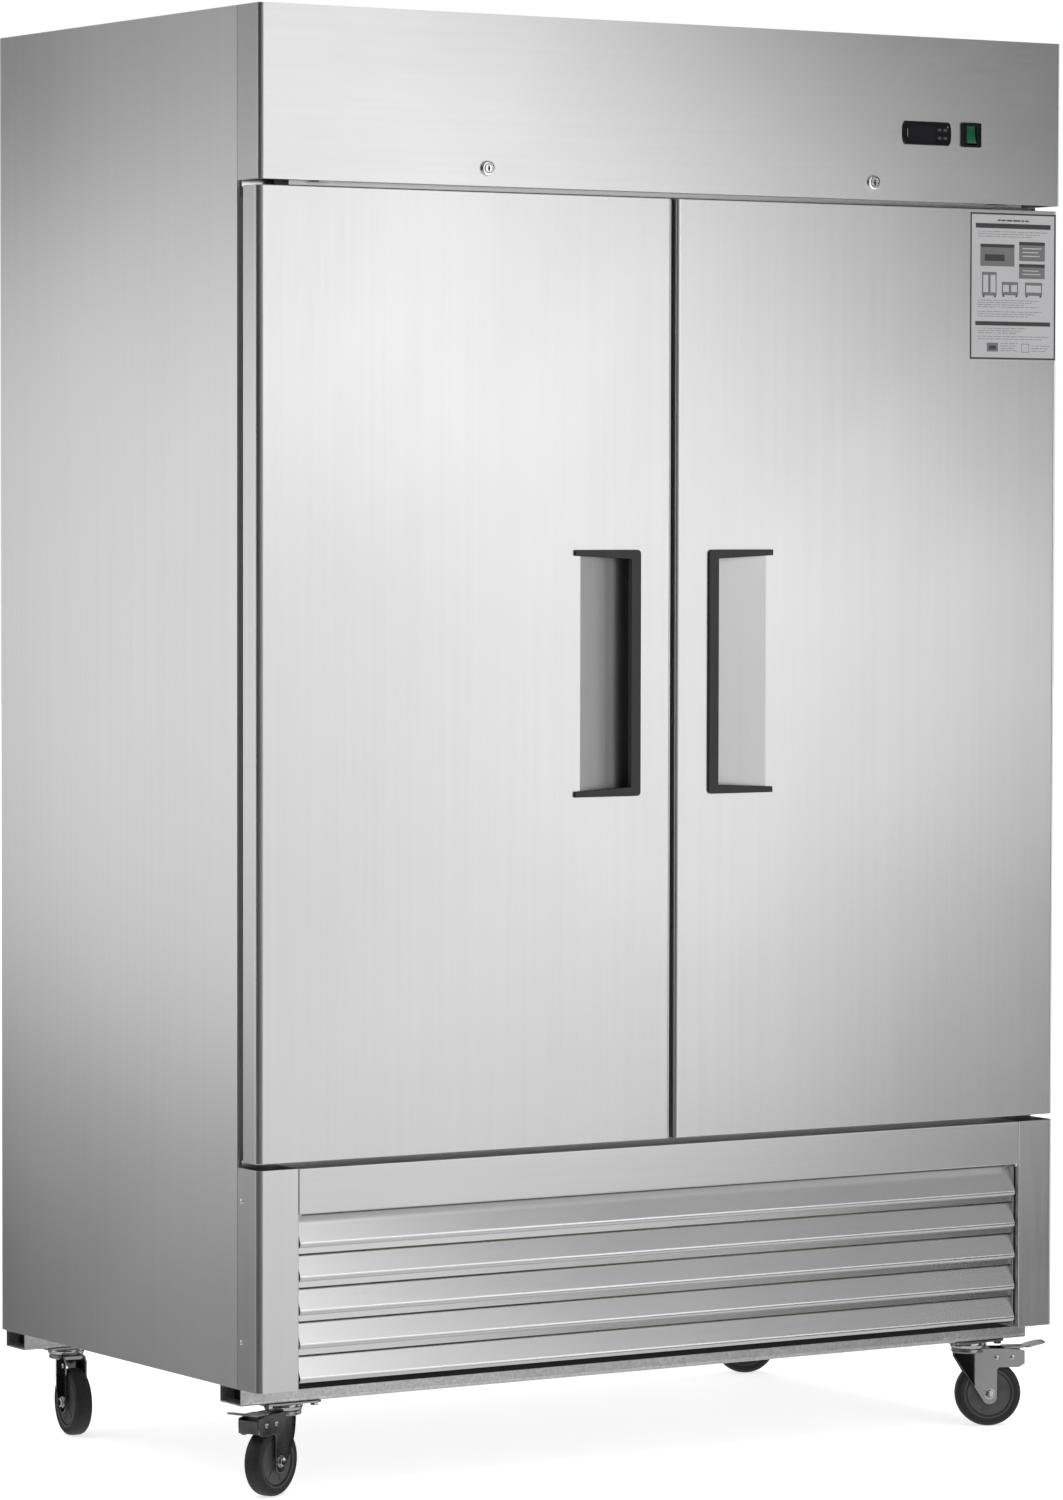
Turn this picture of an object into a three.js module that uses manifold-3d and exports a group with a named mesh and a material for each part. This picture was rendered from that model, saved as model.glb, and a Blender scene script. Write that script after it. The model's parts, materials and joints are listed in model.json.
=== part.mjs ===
// A two-door reach-in refrigerator: a stainless cabinet over a machine compartment, on four casters.
// Millimetres, +Z up, the doors face -Y. The origin is on the floor, under the middle of the cabinet.
import * as THREE from "three";
import { mergeVertices } from "three/addons/utils/BufferGeometryUtils.js";
import Module from "manifold-3d";

const wasm = await Module();
wasm.setup();

// ---------------------------------------------------------------- driving dimensions
const HALF_WIDTH = 690;
const FRONT = -390; // the header's front face
const BACK = 390; // the rear skin's outer face
const BASE_Z = 158; // underside of the cabinet
const TOP_Z = 2085.5;
const SHEET = 1.2; // sheet steel
const GAP = 0.3; // clearance between pieces that touch

const FACE_Y = -328; // plane that the door gaskets close on
const WALL = 60; // insulated wall, skin to skin

const HEADER_BOTTOM = 1843.3;
const HEADER_FOLD = 7; // outer bend radius of the header and the columns

const DOOR_BOTTOM = 477.7;
const DOOR_TOP = 1835.4;
const DOOR_FRONT = -385.6;
const DOOR_DEPTH = 42.6;
const DOOR_MEETING_X = 3.5; // half of the gap between the doors
const DOOR_FOLD = 6.5;
const DOOR_PIN_X = 674;
const DOOR_PIN_Y = -364;
const PIN_RADIUS = 4;
const PIN_REACH = 17; // how far a pin enters its door

const GASKET_WIDTH = 16;
const GASKET_INSET = 12; // from the door's top, bottom and meeting edges
const GASKET_HINGE_X = 673; // outer edge, inboard of the pin so that it swings clear

const COLUMN_TOP = 469.2;
const COLUMN_FRONT = -386;
const COLUMN_INNER_X = 624;

const MULLION_HALF = 38;
const FRAME_DEPTH = 45; // mullion and head rail, front to back
const SILL_Z = 515; // floor of the cold cabinet
const HEAD_Z = 1798; // top of the door opening
const CEILING_Z = 2025;
const REAR_WALL_Y = 332;
const CAVITY_HALF = 629;

const POCKET_DEEP_X = 62; // the pocket's steep wall, under the grip bar
const POCKET_BEND_X = 70;
const POCKET_MOUTH_X = 161.6; // where the ramp meets the door's face
const POCKET_DEPTH = 22;
const POCKET_Z = [984, 1324];
const GRIP_X = [59, 171];
const GRIP_Z = [976, 1330];
const GRIP_BAR = 17;
const GRIP_FRONT = -389.6;

const RAIL_BOTTOM = 404.5;
const SLAT_COUNT = 5;
const SLAT_PITCH = 47.4;
const SLAT_NOSE_Z = 172.9; // centre of the lowest slat's rolled nose
const SLAT_NOSE_Y = -377;
const SLAT_NOSE_RADIUS = 6;
const SLAT_HALF_LENGTH = 617;

const LOCK_Z = 1868.2; // axis of the cam locks in the header
const LOCK_X = { left: 320.7, right: 345.8 };
const CAM_LENGTH = 42; // from the lock's axis to the cam's end

const CONTROLLER = { x: [397.8, 485.6], z: [1926.2, 1961] };
const SWITCH = { x: [504.6, 539.3], z: [1925.4, 1961.8] };

const BAR_HEIGHT = 25.4;
const BAR_DEPTH = 60;
const BAR_HALF = 683;
const FRONT_BAR_Y = -296;
const REAR_BAR_Y = 360;

const SWIVEL_X = 598; // swivel axes, either side of the middle
const WHEEL_RADIUS = 50;
const WHEEL_HALF = 13.5;
const TRAIL = 30; // swivel axis to axle, level
const LEG_INNER = 15;
const LEG_OUTER = 17.6;
const PEDAL_PIVOT = { t: 65, z: 105 }; // t runs from the swivel axis towards the wheel
// Each caster's turn is the direction in which its wheel trails, in degrees from +X towards +Y.
const CASTERS = [
  { name: "front_left", x: -SWIVEL_X, y: FRONT_BAR_Y, turn: 205, brake: true },
  { name: "front_right", x: SWIVEL_X, y: FRONT_BAR_Y, turn: -25, brake: true },
  { name: "rear_left", x: -SWIVEL_X, y: REAR_BAR_Y, turn: 263, brake: false },
  { name: "rear_right", x: SWIVEL_X, y: REAR_BAR_Y, turn: -30, brake: false },
];

const SHELF_LEVELS = [825, 1135, 1445];
const SHELF_THICKNESS = 6;
const SHELF_X = [10, 622];
const SHELF_Y = [-270, 310];
const SHELF_SLOTS = 8;
const PILASTER_Y = [-230, 270]; // shelf pilasters on the side walls
const CLIP_REACH = 26; // from a wall, or from the cabinet's middle, to a clip's end
const MIDDLE_POST = 8; // half width of the rear wall's post, between the two columns of shelves

const EVAPORATOR_Z = 1850; // underside of the evaporator's cover

// ---------------------------------------------------------------- materials
const finish = (color, roughness, metalness) =>
  new THREE.MeshStandardMaterial({ color, roughness, metalness });
const STAINLESS = finish(0xc4c6c8, 0.32, 1);
const LINER_STEEL = finish(0xcfd1d2, 0.38, 1);
const GALVANISED = finish(0xa9adb0, 0.5, 1);
const ZINC = finish(0xa4a6a8, 0.35, 1);
const FOAM = finish(0xe4d6a8, 0.95, 0);
const BLACK_PLASTIC = finish(0x1c1d1f, 0.45, 0);
const GLOSS_BLACK = finish(0x121317, 0.15, 0);
const GREEN_LENS = finish(0x1d9c55, 0.2, 0);
const GASKET_RUBBER = finish(0x55585a, 0.7, 0);
const TYRE_RUBBER = finish(0x1a1a1b, 0.8, 0);
const CHROME = finish(0xd6d8da, 0.12, 1);
const BLACK_PAINT = finish(0x202224, 0.4, 0.3);
const ALUMINIUM = finish(0xb9bcbe, 0.45, 1);
const SHELF_WIRE = finish(0xd9dbdc, 0.4, 0.2);

// ---------------------------------------------------------------- solids
// A closed manifold of a geometry, with its shared vertices merged and its collapsed triangles dropped.
function solid(geometry) {
  const bare = geometry.clone();
  bare.deleteAttribute("normal");
  bare.deleteAttribute("uv");
  const merged = mergeVertices(bare, 1e-4);
  const corners = merged.index.array;
  const kept = [];
  for (let i = 0; i < corners.length; i += 3) {
    const [a, b, c] = corners.slice(i, i + 3);
    if (a !== b && b !== c && c !== a) kept.push(a, b, c);
  }
  const vertProperties = new Float32Array(merged.attributes.position.array);
  return new wasm.Manifold(new wasm.Mesh({ numProp: 3, vertProperties, triVerts: new Uint32Array(kept) }));
}

function geometryOf(manifold) {
  const mesh = manifold.getMesh();
  const geometry = new THREE.BufferGeometry();
  geometry.setAttribute("position", new THREE.BufferAttribute(mesh.vertProperties, 3));
  geometry.setIndex(new THREE.BufferAttribute(mesh.triVerts, 1));
  return geometry;
}

const join = (...geometries) => geometryOf(geometries.map(solid).reduce((a, b) => a.add(b)));
const cut = (body, ...tools) => geometryOf(tools.map(solid).reduce((a, b) => a.subtract(b), solid(body)));
const common = (a, b) => geometryOf(solid(a).intersect(solid(b)));

function box(x0, x1, y0, y1, z0, z1) {
  const geometry = new THREE.BoxGeometry(x1 - x0, y1 - y0, z1 - z0);
  return geometry.translate((x0 + x1) / 2, (y0 + y1) / 2, (z0 + z1) / 2);
}

function extrude(shape, length, curveSegments = 3) {
  return new THREE.ExtrudeGeometry(shape, { depth: length, bevelEnabled: false, curveSegments });
}

// An outline in X and Y, raised from z0 to z1.
const extrudeZ = (shape, z0, z1, curveSegments) => extrude(shape, z1 - z0, curveSegments).translate(0, 0, z0);

// An outline in X and Z, running from y0 to y1.
const extrudeY = (shape, y0, y1, curveSegments) =>
  extrude(shape, y1 - y0, curveSegments).rotateX(Math.PI / 2).translate(0, y1, 0);

// An outline in Y and Z, running from x0 to x1.
const YZ_TO_X = new THREE.Matrix4().set(0, 0, 1, 0, 1, 0, 0, 0, 0, 1, 0, 0, 0, 0, 0, 1);
const extrudeX = (shape, x0, x1, curveSegments) =>
  extrude(shape, x1 - x0, curveSegments).applyMatrix4(YZ_TO_X).translate(x0, 0, 0);

const rod = (radius, length, segments = 16) => new THREE.CylinderGeometry(radius, radius, length, segments);
const rodY = (radius, x, y0, y1, z, segments) =>
  rod(radius, y1 - y0, segments).translate(x, (y0 + y1) / 2, z);
const rodZ = (radius, x, y, z0, z1, segments) =>
  rod(radius, z1 - z0, segments).rotateX(Math.PI / 2).translate(x, y, (z0 + z1) / 2);

function mirrorX(geometry) {
  const mirrored = (geometry.index ? geometry.toNonIndexed() : geometry.clone()).scale(-1, 1, 1);
  const position = mirrored.attributes.position;
  for (let i = 0; i < position.count; i += 3) {
    const second = new THREE.Vector3().fromBufferAttribute(position, i + 1);
    const third = new THREE.Vector3().fromBufferAttribute(position, i + 2);
    position.setXYZ(i + 1, third.x, third.y, third.z);
    position.setXYZ(i + 2, second.x, second.y, second.z);
  }
  return mirrored;
}

function polygon(points) {
  return new THREE.Shape(points.map(([a, b]) => new THREE.Vector2(a, b)));
}

function rectangle(a0, a1, b0, b1) {
  return polygon([[a0, b0], [a1, b0], [a1, b1], [a0, b1]]);
}

// Draws a path through the points, rounding each inner corner to the radius.
function traceRounded(shape, points, radius, start) {
  const corner = points.map(([a, b]) => new THREE.Vector2(a, b));
  if (start) shape.moveTo(corner[0].x, corner[0].y);
  else shape.lineTo(corner[0].x, corner[0].y);
  for (let i = 1; i < corner.length - 1; i++) {
    const before = corner[i - 1].clone().sub(corner[i]).normalize();
    const after = corner[i + 1].clone().sub(corner[i]).normalize();
    const reach = radius / Math.tan(before.angleTo(after) / 2);
    const enter = corner[i].clone().addScaledVector(before, reach);
    const leave = corner[i].clone().addScaledVector(after, reach);
    shape.lineTo(enter.x, enter.y);
    shape.quadraticCurveTo(corner[i].x, corner[i].y, leave.x, leave.y);
  }
  const last = corner[corner.length - 1];
  shape.lineTo(last.x, last.y);
}

// A closed outline through the points, with its inner corners rounded and its two ends joined straight.
function roundedSolid(points, radius) {
  const shape = new THREE.Shape();
  traceRounded(shape, points, radius, true);
  return shape;
}

// A piece seen from above: back along one side, across the front and back along the other.
const wrap = (x0, x1, yFront, yBack) => [[x0, yBack], [x0, yFront], [x1, yFront], [x1, yBack]];

// A sheet pan: a block with rounded front edges, hollowed from the back to the sheet's thickness.
function pan([x0, x1], yFront, yBack, [z0, z1], radius) {
  const outer = roundedSolid(wrap(x0, x1, yFront, yBack), radius);
  const inner = roundedSolid(wrap(x0 + SHEET, x1 - SHEET, yFront + SHEET, yBack + 1), radius - SHEET);
  return cut(extrudeZ(outer, z0, z1), extrudeZ(inner, z0 + SHEET, z1 - SHEET));
}

// The section of a folded sheet: its outer side runs through the points, with its thickness on their left.
function foldedSheet(points, radius, thickness = SHEET) {
  const outer = points.map(([a, b]) => new THREE.Vector2(a, b));
  const direction = outer.slice(1).map((p, i) => p.clone().sub(outer[i]).normalize());
  const left = direction.map((d) => new THREE.Vector2(-d.y, d.x));
  const inner = outer.map((p, i) => {
    const a = left[Math.max(i - 1, 0)];
    const b = left[Math.min(i, left.length - 1)];
    const middle = a.clone().add(b);
    return p.clone().addScaledVector(middle, (2 * thickness) / middle.lengthSq());
  });
  const shape = new THREE.Shape();
  traceRounded(shape, points, radius, true);
  const back = inner.reverse().map((p) => [p.x, p.y]);
  traceRounded(shape, back, Math.max(radius - thickness, 0.5), false);
  return shape;
}

const group = new THREE.Group();
function add(name, geometry, material) {
  const mesh = new THREE.Mesh(geometry, material);
  mesh.name = name;
  group.add(mesh);
  return mesh;
}

// A piece drawn for the right-hand side, and its mirror image on the left.
function addPair(name, geometry, material) {
  add(`left_${name}`, mirrorX(geometry), material);
  add(`right_${name}`, geometry, material);
}

// ---------------------------------------------------------------- cabinet skins
const INNER_HALF = HALF_WIDTH - SHEET - GAP; // room between the two side skins
const STILE_X = HALF_WIDTH - WALL;

const sidePanel = extrudeZ(
  foldedSheet([[STILE_X, FACE_Y], [HALF_WIDTH, FACE_Y], [HALF_WIDTH, BACK]], 2),
  BASE_Z,
  TOP_Z,
);
addPair("side_panel", sidePanel, STAINLESS);

add("top_panel", box(-INNER_HALF, INNER_HALF, FACE_Y + SHEET + GAP, BACK, TOP_Z - SHEET, TOP_Z), STAINLESS);

const REAR_SEAM_Z = COLUMN_TOP;
const backPanel = box(-INNER_HALF, INNER_HALF, BACK - SHEET, BACK, REAR_SEAM_Z, TOP_Z - SHEET - GAP);
add("back_panel", backPanel, GALVANISED);

// The machine compartment's rear cover has rows of upright air slots, and a hole for the cable gland.
const GLAND = { x: -560, z: 260 };
const VENT = { columns: 8, pitch: 84, width: 40, z: [[215, 300], [330, 415]] };
const ventSlots = [];
for (const [z0, z1] of VENT.z) {
  for (let i = 0; i < VENT.columns; i++) {
    const x = (i - (VENT.columns - 1) / 2) * VENT.pitch;
    ventSlots.push(box(x - VENT.width / 2, x + VENT.width / 2, BACK - 5, BACK + 5, z0, z1));
  }
}
const rearCover = box(-INNER_HALF, INNER_HALF, BACK - SHEET, BACK, BASE_Z + 3, REAR_SEAM_Z - GAP);
add("rear_cover", cut(rearCover, ...ventSlots, rodY(9.6, GLAND.x, BACK - 5, BACK + 5, GLAND.z)), GALVANISED);

const gland = join(
  rodY(14, GLAND.x, BACK + GAP, BACK + 5, GLAND.z, 20),
  rodY(9, GLAND.x, BACK - 14, BACK + 1, GLAND.z, 20),
);
add("cord_gland", cut(gland, rodY(4.5, GLAND.x, BACK - 20, BACK + 10, GLAND.z)), BLACK_PLASTIC);

// ---------------------------------------------------------------- insulation, liner and door frame
const FOAM_FRONT = FACE_Y + SHEET + GAP;
const FOAM_INNER_X = CAVITY_HALF + SHEET + GAP;
add(
  "insulation_foam",
  cut(
    box(-INNER_HALF, INNER_HALF, FOAM_FRONT, BACK - SHEET - GAP, COLUMN_TOP + 0.8, TOP_Z - SHEET - GAP),
    box(-FOAM_INNER_X, FOAM_INNER_X, FOAM_FRONT - 1, REAR_WALL_Y + 1.5, SILL_Z - 1.5, CEILING_Z + 1.5),
  ),
  FOAM,
);

// The liner is an open box with upright shelf pilasters on its walls, and a clip on each under every shelf.
const CLIP_HEIGHT = 11;
const PILASTER_PROUD = 6;
const PILASTER_HALF = 9;
const PILASTER_Z = [SILL_Z - 0.5, EVAPORATOR_Z - 60];
const sidePilasters = [];
const clipTops = SHELF_LEVELS.map((z) => z - GAP);
for (const y of PILASTER_Y) {
  for (const sign of [-1, 1]) {
    const wall = sign * (CAVITY_HALF + 0.5);
    const face = sign * (CAVITY_HALF - PILASTER_PROUD);
    const clipEnd = sign * (CAVITY_HALF - CLIP_REACH);
    sidePilasters.push(
      box(Math.min(wall, face), Math.max(wall, face), y - PILASTER_HALF, y + PILASTER_HALF, ...PILASTER_Z),
    );
    for (const top of clipTops) {
      sidePilasters.push(
        box(Math.min(wall, clipEnd), Math.max(wall, clipEnd), y - 6, y + 6, top - CLIP_HEIGHT, top),
      );
    }
  }
}
const rearPost = box(-MIDDLE_POST, MIDDLE_POST, SHELF_Y[1] + 2, REAR_WALL_Y + 0.5, ...PILASTER_Z);
const rearClips = clipTops.map((top) =>
  box(-CLIP_REACH, CLIP_REACH, SHELF_Y[1] - 14, SHELF_Y[1] + 3, top - CLIP_HEIGHT, top),
);
const linerBox = cut(
  box(
    -CAVITY_HALF - SHEET, CAVITY_HALF + SHEET,
    FOAM_FRONT, REAR_WALL_Y + SHEET,
    SILL_Z - SHEET, CEILING_Z + SHEET,
  ),
  box(-CAVITY_HALF, CAVITY_HALF, FOAM_FRONT - 1, REAR_WALL_Y, SILL_Z, CEILING_Z),
);
add("inner_liner", join(linerBox, ...sidePilasters, rearPost, ...rearClips), LINER_STEEL);

const FRAME_X = STILE_X - GAP;
const FRAME_BACK = FACE_Y + FRAME_DEPTH;
const FRAME_BOTTOM = COLUMN_TOP - 29;
const FRAME_TOP = TOP_Z - SHEET - GAP;
const FOLD_IN = 0.5; // how far the mullion's and the head's boxes are set in behind the face plate
const facePlate = polygon([
  [-FRAME_X, FRAME_BOTTOM], [FRAME_X, FRAME_BOTTOM], [FRAME_X, SILL_Z - GAP], [MULLION_HALF, SILL_Z - GAP],
  [MULLION_HALF, HEAD_Z], [FRAME_X, HEAD_Z], [FRAME_X, FRAME_TOP], [-FRAME_X, FRAME_TOP],
  [-FRAME_X, HEAD_Z], [-MULLION_HALF, HEAD_Z], [-MULLION_HALF, SILL_Z - GAP], [-FRAME_X, SILL_Z - GAP],
]);
const mullionX = MULLION_HALF - FOLD_IN;
const headX = CAVITY_HALF - GAP;
const frameHollow = FACE_Y + 3;
const mullionBack = FRAME_BACK - 1;
const mullionClips = clipTops.map((top) =>
  box(-CLIP_REACH, CLIP_REACH, mullionBack - 0.5, SHELF_Y[0] + 12, top - CLIP_HEIGHT, top),
);
add(
  "door_frame",
  join(
    cut(
      join(
        extrudeY(facePlate, FACE_Y, FACE_Y + SHEET),
        box(-mullionX, mullionX, FACE_Y + FOLD_IN, mullionBack, SILL_Z + GAP, HEAD_Z + 10),
        box(-headX, headX, FACE_Y + FOLD_IN, FRAME_BACK, HEAD_Z + FOLD_IN, CEILING_Z - GAP),
      ),
      box(-headX + 2, headX - 2, frameHollow, FRAME_BACK - 2, HEAD_Z + 3, CEILING_Z + 5),
      box(-mullionX + 2, mullionX - 2, frameHollow, mullionBack - 2, SILL_Z + 3, HEAD_Z + 8),
    ),
    ...mullionClips,
  ),
  STAINLESS,
);

// ---------------------------------------------------------------- header cover and its controls
const COVER_SEAM = FACE_Y - GAP;
const HEADER_LIP = 20; // bottom flange, front to back
const CONTROL_BODY = 2; // how far a control's body is inside its bezel, on each side
const header = cut(
  pan([-HALF_WIDTH, HALF_WIDTH], FRONT, COVER_SEAM, [HEADER_BOTTOM, TOP_Z], HEADER_FOLD),
  box(-HALF_WIDTH + 4, HALF_WIDTH - 4, FRONT + HEADER_LIP, BACK, HEADER_BOTTOM - 5, HEADER_BOTTOM + 5),
  ...[CONTROLLER, SWITCH].map(({ x, z }) =>
    box(
      x[0] + CONTROL_BODY - GAP, x[1] - CONTROL_BODY + GAP,
      FRONT - 5, FRONT + 5,
      z[0] + CONTROL_BODY - GAP, z[1] - CONTROL_BODY + GAP,
    ),
  ),
  rodY(9.5, -LOCK_X.left, FRONT - 5, FRONT + 5, LOCK_Z, 20),
  rodY(9.5, LOCK_X.right, FRONT - 5, FRONT + 5, LOCK_Z, 20),
);
add("header_cover", header, STAINLESS);

// The temperature controller: a bezel with bowed ends, and a box behind the sheet.
const BEZEL_BOW = 4;
const bezel = new THREE.Shape();
bezel.moveTo(CONTROLLER.x[0] + BEZEL_BOW, CONTROLLER.z[0]);
bezel.lineTo(CONTROLLER.x[1] - BEZEL_BOW, CONTROLLER.z[0]);
bezel.quadraticCurveTo(
  CONTROLLER.x[1] + BEZEL_BOW, (CONTROLLER.z[0] + CONTROLLER.z[1]) / 2,
  CONTROLLER.x[1] - BEZEL_BOW, CONTROLLER.z[1],
);
bezel.lineTo(CONTROLLER.x[0] + BEZEL_BOW, CONTROLLER.z[1]);
bezel.quadraticCurveTo(
  CONTROLLER.x[0] - BEZEL_BOW, (CONTROLLER.z[0] + CONTROLLER.z[1]) / 2,
  CONTROLLER.x[0] + BEZEL_BOW, CONTROLLER.z[0],
);
add(
  "temperature_controller",
  join(
    extrudeY(bezel, FRONT - 3, FRONT - GAP, 6),
    box(
      CONTROLLER.x[0] + 6, CONTROLLER.x[1] - 6,
      FRONT - 1, FRONT + 55,
      CONTROLLER.z[0] + CONTROL_BODY, CONTROLLER.z[1] - CONTROL_BODY,
    ),
  ),
  GLOSS_BLACK,
);

// The power switch: a frame that stands out of the header, with a rocker in its well.
const SWITCH_MIDDLE = { x: (SWITCH.x[0] + SWITCH.x[1]) / 2, z: (SWITCH.z[0] + SWITCH.z[1]) / 2 };
const WELL_HALF = { x: 9.3, z: 14.6 };
const switchHousing = cut(
  join(
    box(SWITCH.x[0], SWITCH.x[1], FRONT - 4.8, FRONT - GAP, SWITCH.z[0], SWITCH.z[1]),
    box(
      SWITCH.x[0] + CONTROL_BODY, SWITCH.x[1] - CONTROL_BODY,
      FRONT - 1, FRONT + 24,
      SWITCH.z[0] + CONTROL_BODY, SWITCH.z[1] - CONTROL_BODY,
    ),
  ),
  box(
    SWITCH_MIDDLE.x - WELL_HALF.x, SWITCH_MIDDLE.x + WELL_HALF.x,
    FRONT - 10, FRONT + 12,
    SWITCH_MIDDLE.z - WELL_HALF.z, SWITCH_MIDDLE.z + WELL_HALF.z,
  ),
);
add("switch_housing", switchHousing, BLACK_PLASTIC);

const ROCKER_PIVOT_Y = FRONT + 3;
const ROCKER_TILT = 8; // degrees either side of level
const rockerSection = polygon([[-6, 13.2], [-4, 0], [-6, -13.2], [3, -9], [3, 9]]);
const rocker = extrudeX(rockerSection, -8.7, 8.7).rotateX(THREE.MathUtils.degToRad(-ROCKER_TILT));
rocker.translate(SWITCH_MIDDLE.x, ROCKER_PIVOT_Y, SWITCH_MIDDLE.z);
add("power_rocker", rocker, GREEN_LENS);

// A cam lock: the barrel is held in the header, and the plug turns in it and carries the cam.
const CAM_Y = FRONT + 24.5;
for (const [side, sign] of [["left", -1], ["right", 1]]) {
  const x = sign * LOCK_X[side];
  const barrel = join(
    rodY(11, x, FRONT - 4.5, FRONT - GAP, LOCK_Z, 24),
    rodY(9, x, FRONT - 1, FRONT + 22, LOCK_Z, 20),
  );
  add(`${side}_lock_barrel`, cut(barrel, rodY(6.4, x, FRONT - 10, FRONT + 30, LOCK_Z, 20)), CHROME);
  const towardsMiddle = -sign * CAM_LENGTH;
  add(
    `${side}_lock_plug`,
    join(
      rodY(6, x, FRONT - 5, CAM_Y + 1, LOCK_Z, 20),
      rodY(7, x, CAM_Y, CAM_Y + 3, LOCK_Z, 20),
      box(
        Math.min(x, x + towardsMiddle), Math.max(x, x + towardsMiddle),
        CAM_Y, CAM_Y + 3,
        LOCK_Z - 7, LOCK_Z + 7,
      ),
    ),
    CHROME,
  );
}

// ---------------------------------------------------------------- lower front: columns and louvred grille
const columnWrap = [
  [COLUMN_INNER_X, FACE_Y - 18],
  [COLUMN_INNER_X, COLUMN_FRONT],
  [HALF_WIDTH, COLUMN_FRONT],
  [HALF_WIDTH, COVER_SEAM],
];
addPair("column", extrudeZ(foldedSheet(columnWrap, HEADER_FOLD), BASE_Z, COLUMN_TOP), STAINLESS);

// One slat: a sheet that rises to the back from a rolled nose, with a lip turned in under it.
function slatSection(noseZ) {
  const rise = THREE.MathUtils.degToRad(64);
  const length = 44;
  const top = rise + Math.PI / 2; // the nose's arc starts square to the slope
  const end = top + THREE.MathUtils.degToRad(120);
  const steps = 6;
  const at = (radius, angle) => [
    SLAT_NOSE_Y + radius * Math.cos(angle),
    noseZ + radius * Math.sin(angle),
  ];
  const along = ([y, z]) => [y + length * Math.cos(rise), z + length * Math.sin(rise)];
  const outer = [];
  const inner = [];
  for (let i = 0; i <= steps; i++) {
    const angle = top + ((end - top) * i) / steps;
    outer.push(at(SLAT_NOSE_RADIUS, angle));
    inner.push(at(SLAT_NOSE_RADIUS - 2, angle));
  }
  return polygon([along(outer[0]), ...outer, ...inner.reverse(), along(inner[inner.length - 1])]);
}

const RAIL_HALF = COLUMN_INNER_X - 0.5;
const RAIL_RETURN_Y = COLUMN_FRONT + 16; // back edge of the rail's two returns
const railPath = [
  [RAIL_RETURN_Y, COLUMN_TOP],
  [COLUMN_FRONT, COLUMN_TOP],
  [COLUMN_FRONT, RAIL_BOTTOM],
  [RAIL_RETURN_Y, RAIL_BOTTOM],
];
const railSection = foldedSheet(railPath, 2);
const grillePieces = [extrudeX(railSection, -RAIL_HALF, RAIL_HALF)];
for (const x of [-SLAT_HALF_LENGTH - 2, SLAT_HALF_LENGTH - 0.5]) {
  grillePieces.push(box(x, x + 2.5, COLUMN_FRONT + 8, FACE_Y - 6, BASE_Z + 2, RAIL_BOTTOM + 10));
}
for (let i = 0; i < SLAT_COUNT; i++) {
  const noseZ = SLAT_NOSE_Z + i * SLAT_PITCH;
  grillePieces.push(extrudeX(slatSection(noseZ), -SLAT_HALF_LENGTH, SLAT_HALF_LENGTH));
}
// Two ties join the rail's return to the end brackets.
for (const sign of [-1, 1]) {
  const x = sign * SLAT_HALF_LENGTH;
  grillePieces.push(
    box(x - 3, x + 3, COLUMN_FRONT + 0.5, COLUMN_FRONT + 12, RAIL_BOTTOM + 0.5, RAIL_BOTTOM + 10),
  );
}
add("louver_grille", join(...grillePieces), STAINLESS);

// ---------------------------------------------------------------- hinges
// A flat bracket in the gap beside a door's corner, with a flange on the frame and a pin into the door.
const HINGE_PLATE = 4;
const HINGE_X = [616, 689.5];
function hinge(plateZ, up) {
  const outline = roundedSolid(wrap(...HINGE_X, DOOR_FRONT + 1, FACE_Y - 1), HEADER_FOLD);
  const z0 = plateZ;
  const z1 = plateZ + HINGE_PLATE;
  const flange = up > 0 ? [z0 - 70, z1] : [z0, z1 + 70];
  const pin = up > 0 ? [z0, DOOR_BOTTOM + PIN_REACH] : [DOOR_TOP - PIN_REACH, z1];
  const collar = up > 0 ? [z0, DOOR_BOTTOM - 0.5] : [DOOR_TOP + 0.5, z1];
  return join(
    extrudeZ(outline, z0, z1),
    box(634, 686, FACE_Y - 1 - HINGE_PLATE, FACE_Y - 1, ...flange),
    rodZ(PIN_RADIUS, DOOR_PIN_X, DOOR_PIN_Y, ...pin, 16),
    rodZ(8, DOOR_PIN_X, DOOR_PIN_Y, ...collar, 16),
  );
}
addPair("lower_hinge", hinge(COLUMN_TOP + 2, 1), ZINC);
addPair("upper_hinge", hinge(HEADER_BOTTOM - 1.7 - HINGE_PLATE, -1), ZINC);

// ---------------------------------------------------------------- doors
const DOOR_BACK = DOOR_FRONT + DOOR_DEPTH;

// The handle pocket: a ramp that sinks from the door's face towards the grip bar. grow is how much larger
// than the open pocket the outline is, all round.
function pocketPrism(grow, yMouth) {
  const slope = POCKET_DEPTH / (POCKET_MOUTH_X - POCKET_BEND_X);
  const shift = (grow * Math.sqrt(slope * slope + 1)) / slope;
  const mouth = POCKET_MOUTH_X + shift - (yMouth - DOOR_FRONT) / slope;
  const deep = DOOR_FRONT + POCKET_DEPTH + grow;
  const bend = POCKET_BEND_X + shift - grow / slope;
  const outline = polygon([
    [POCKET_DEEP_X - grow, yMouth],
    [mouth, yMouth],
    [bend, deep],
    [POCKET_DEEP_X - grow, deep],
  ]);
  return extrudeZ(outline, POCKET_Z[0] - grow, POCKET_Z[1] + grow);
}

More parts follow.
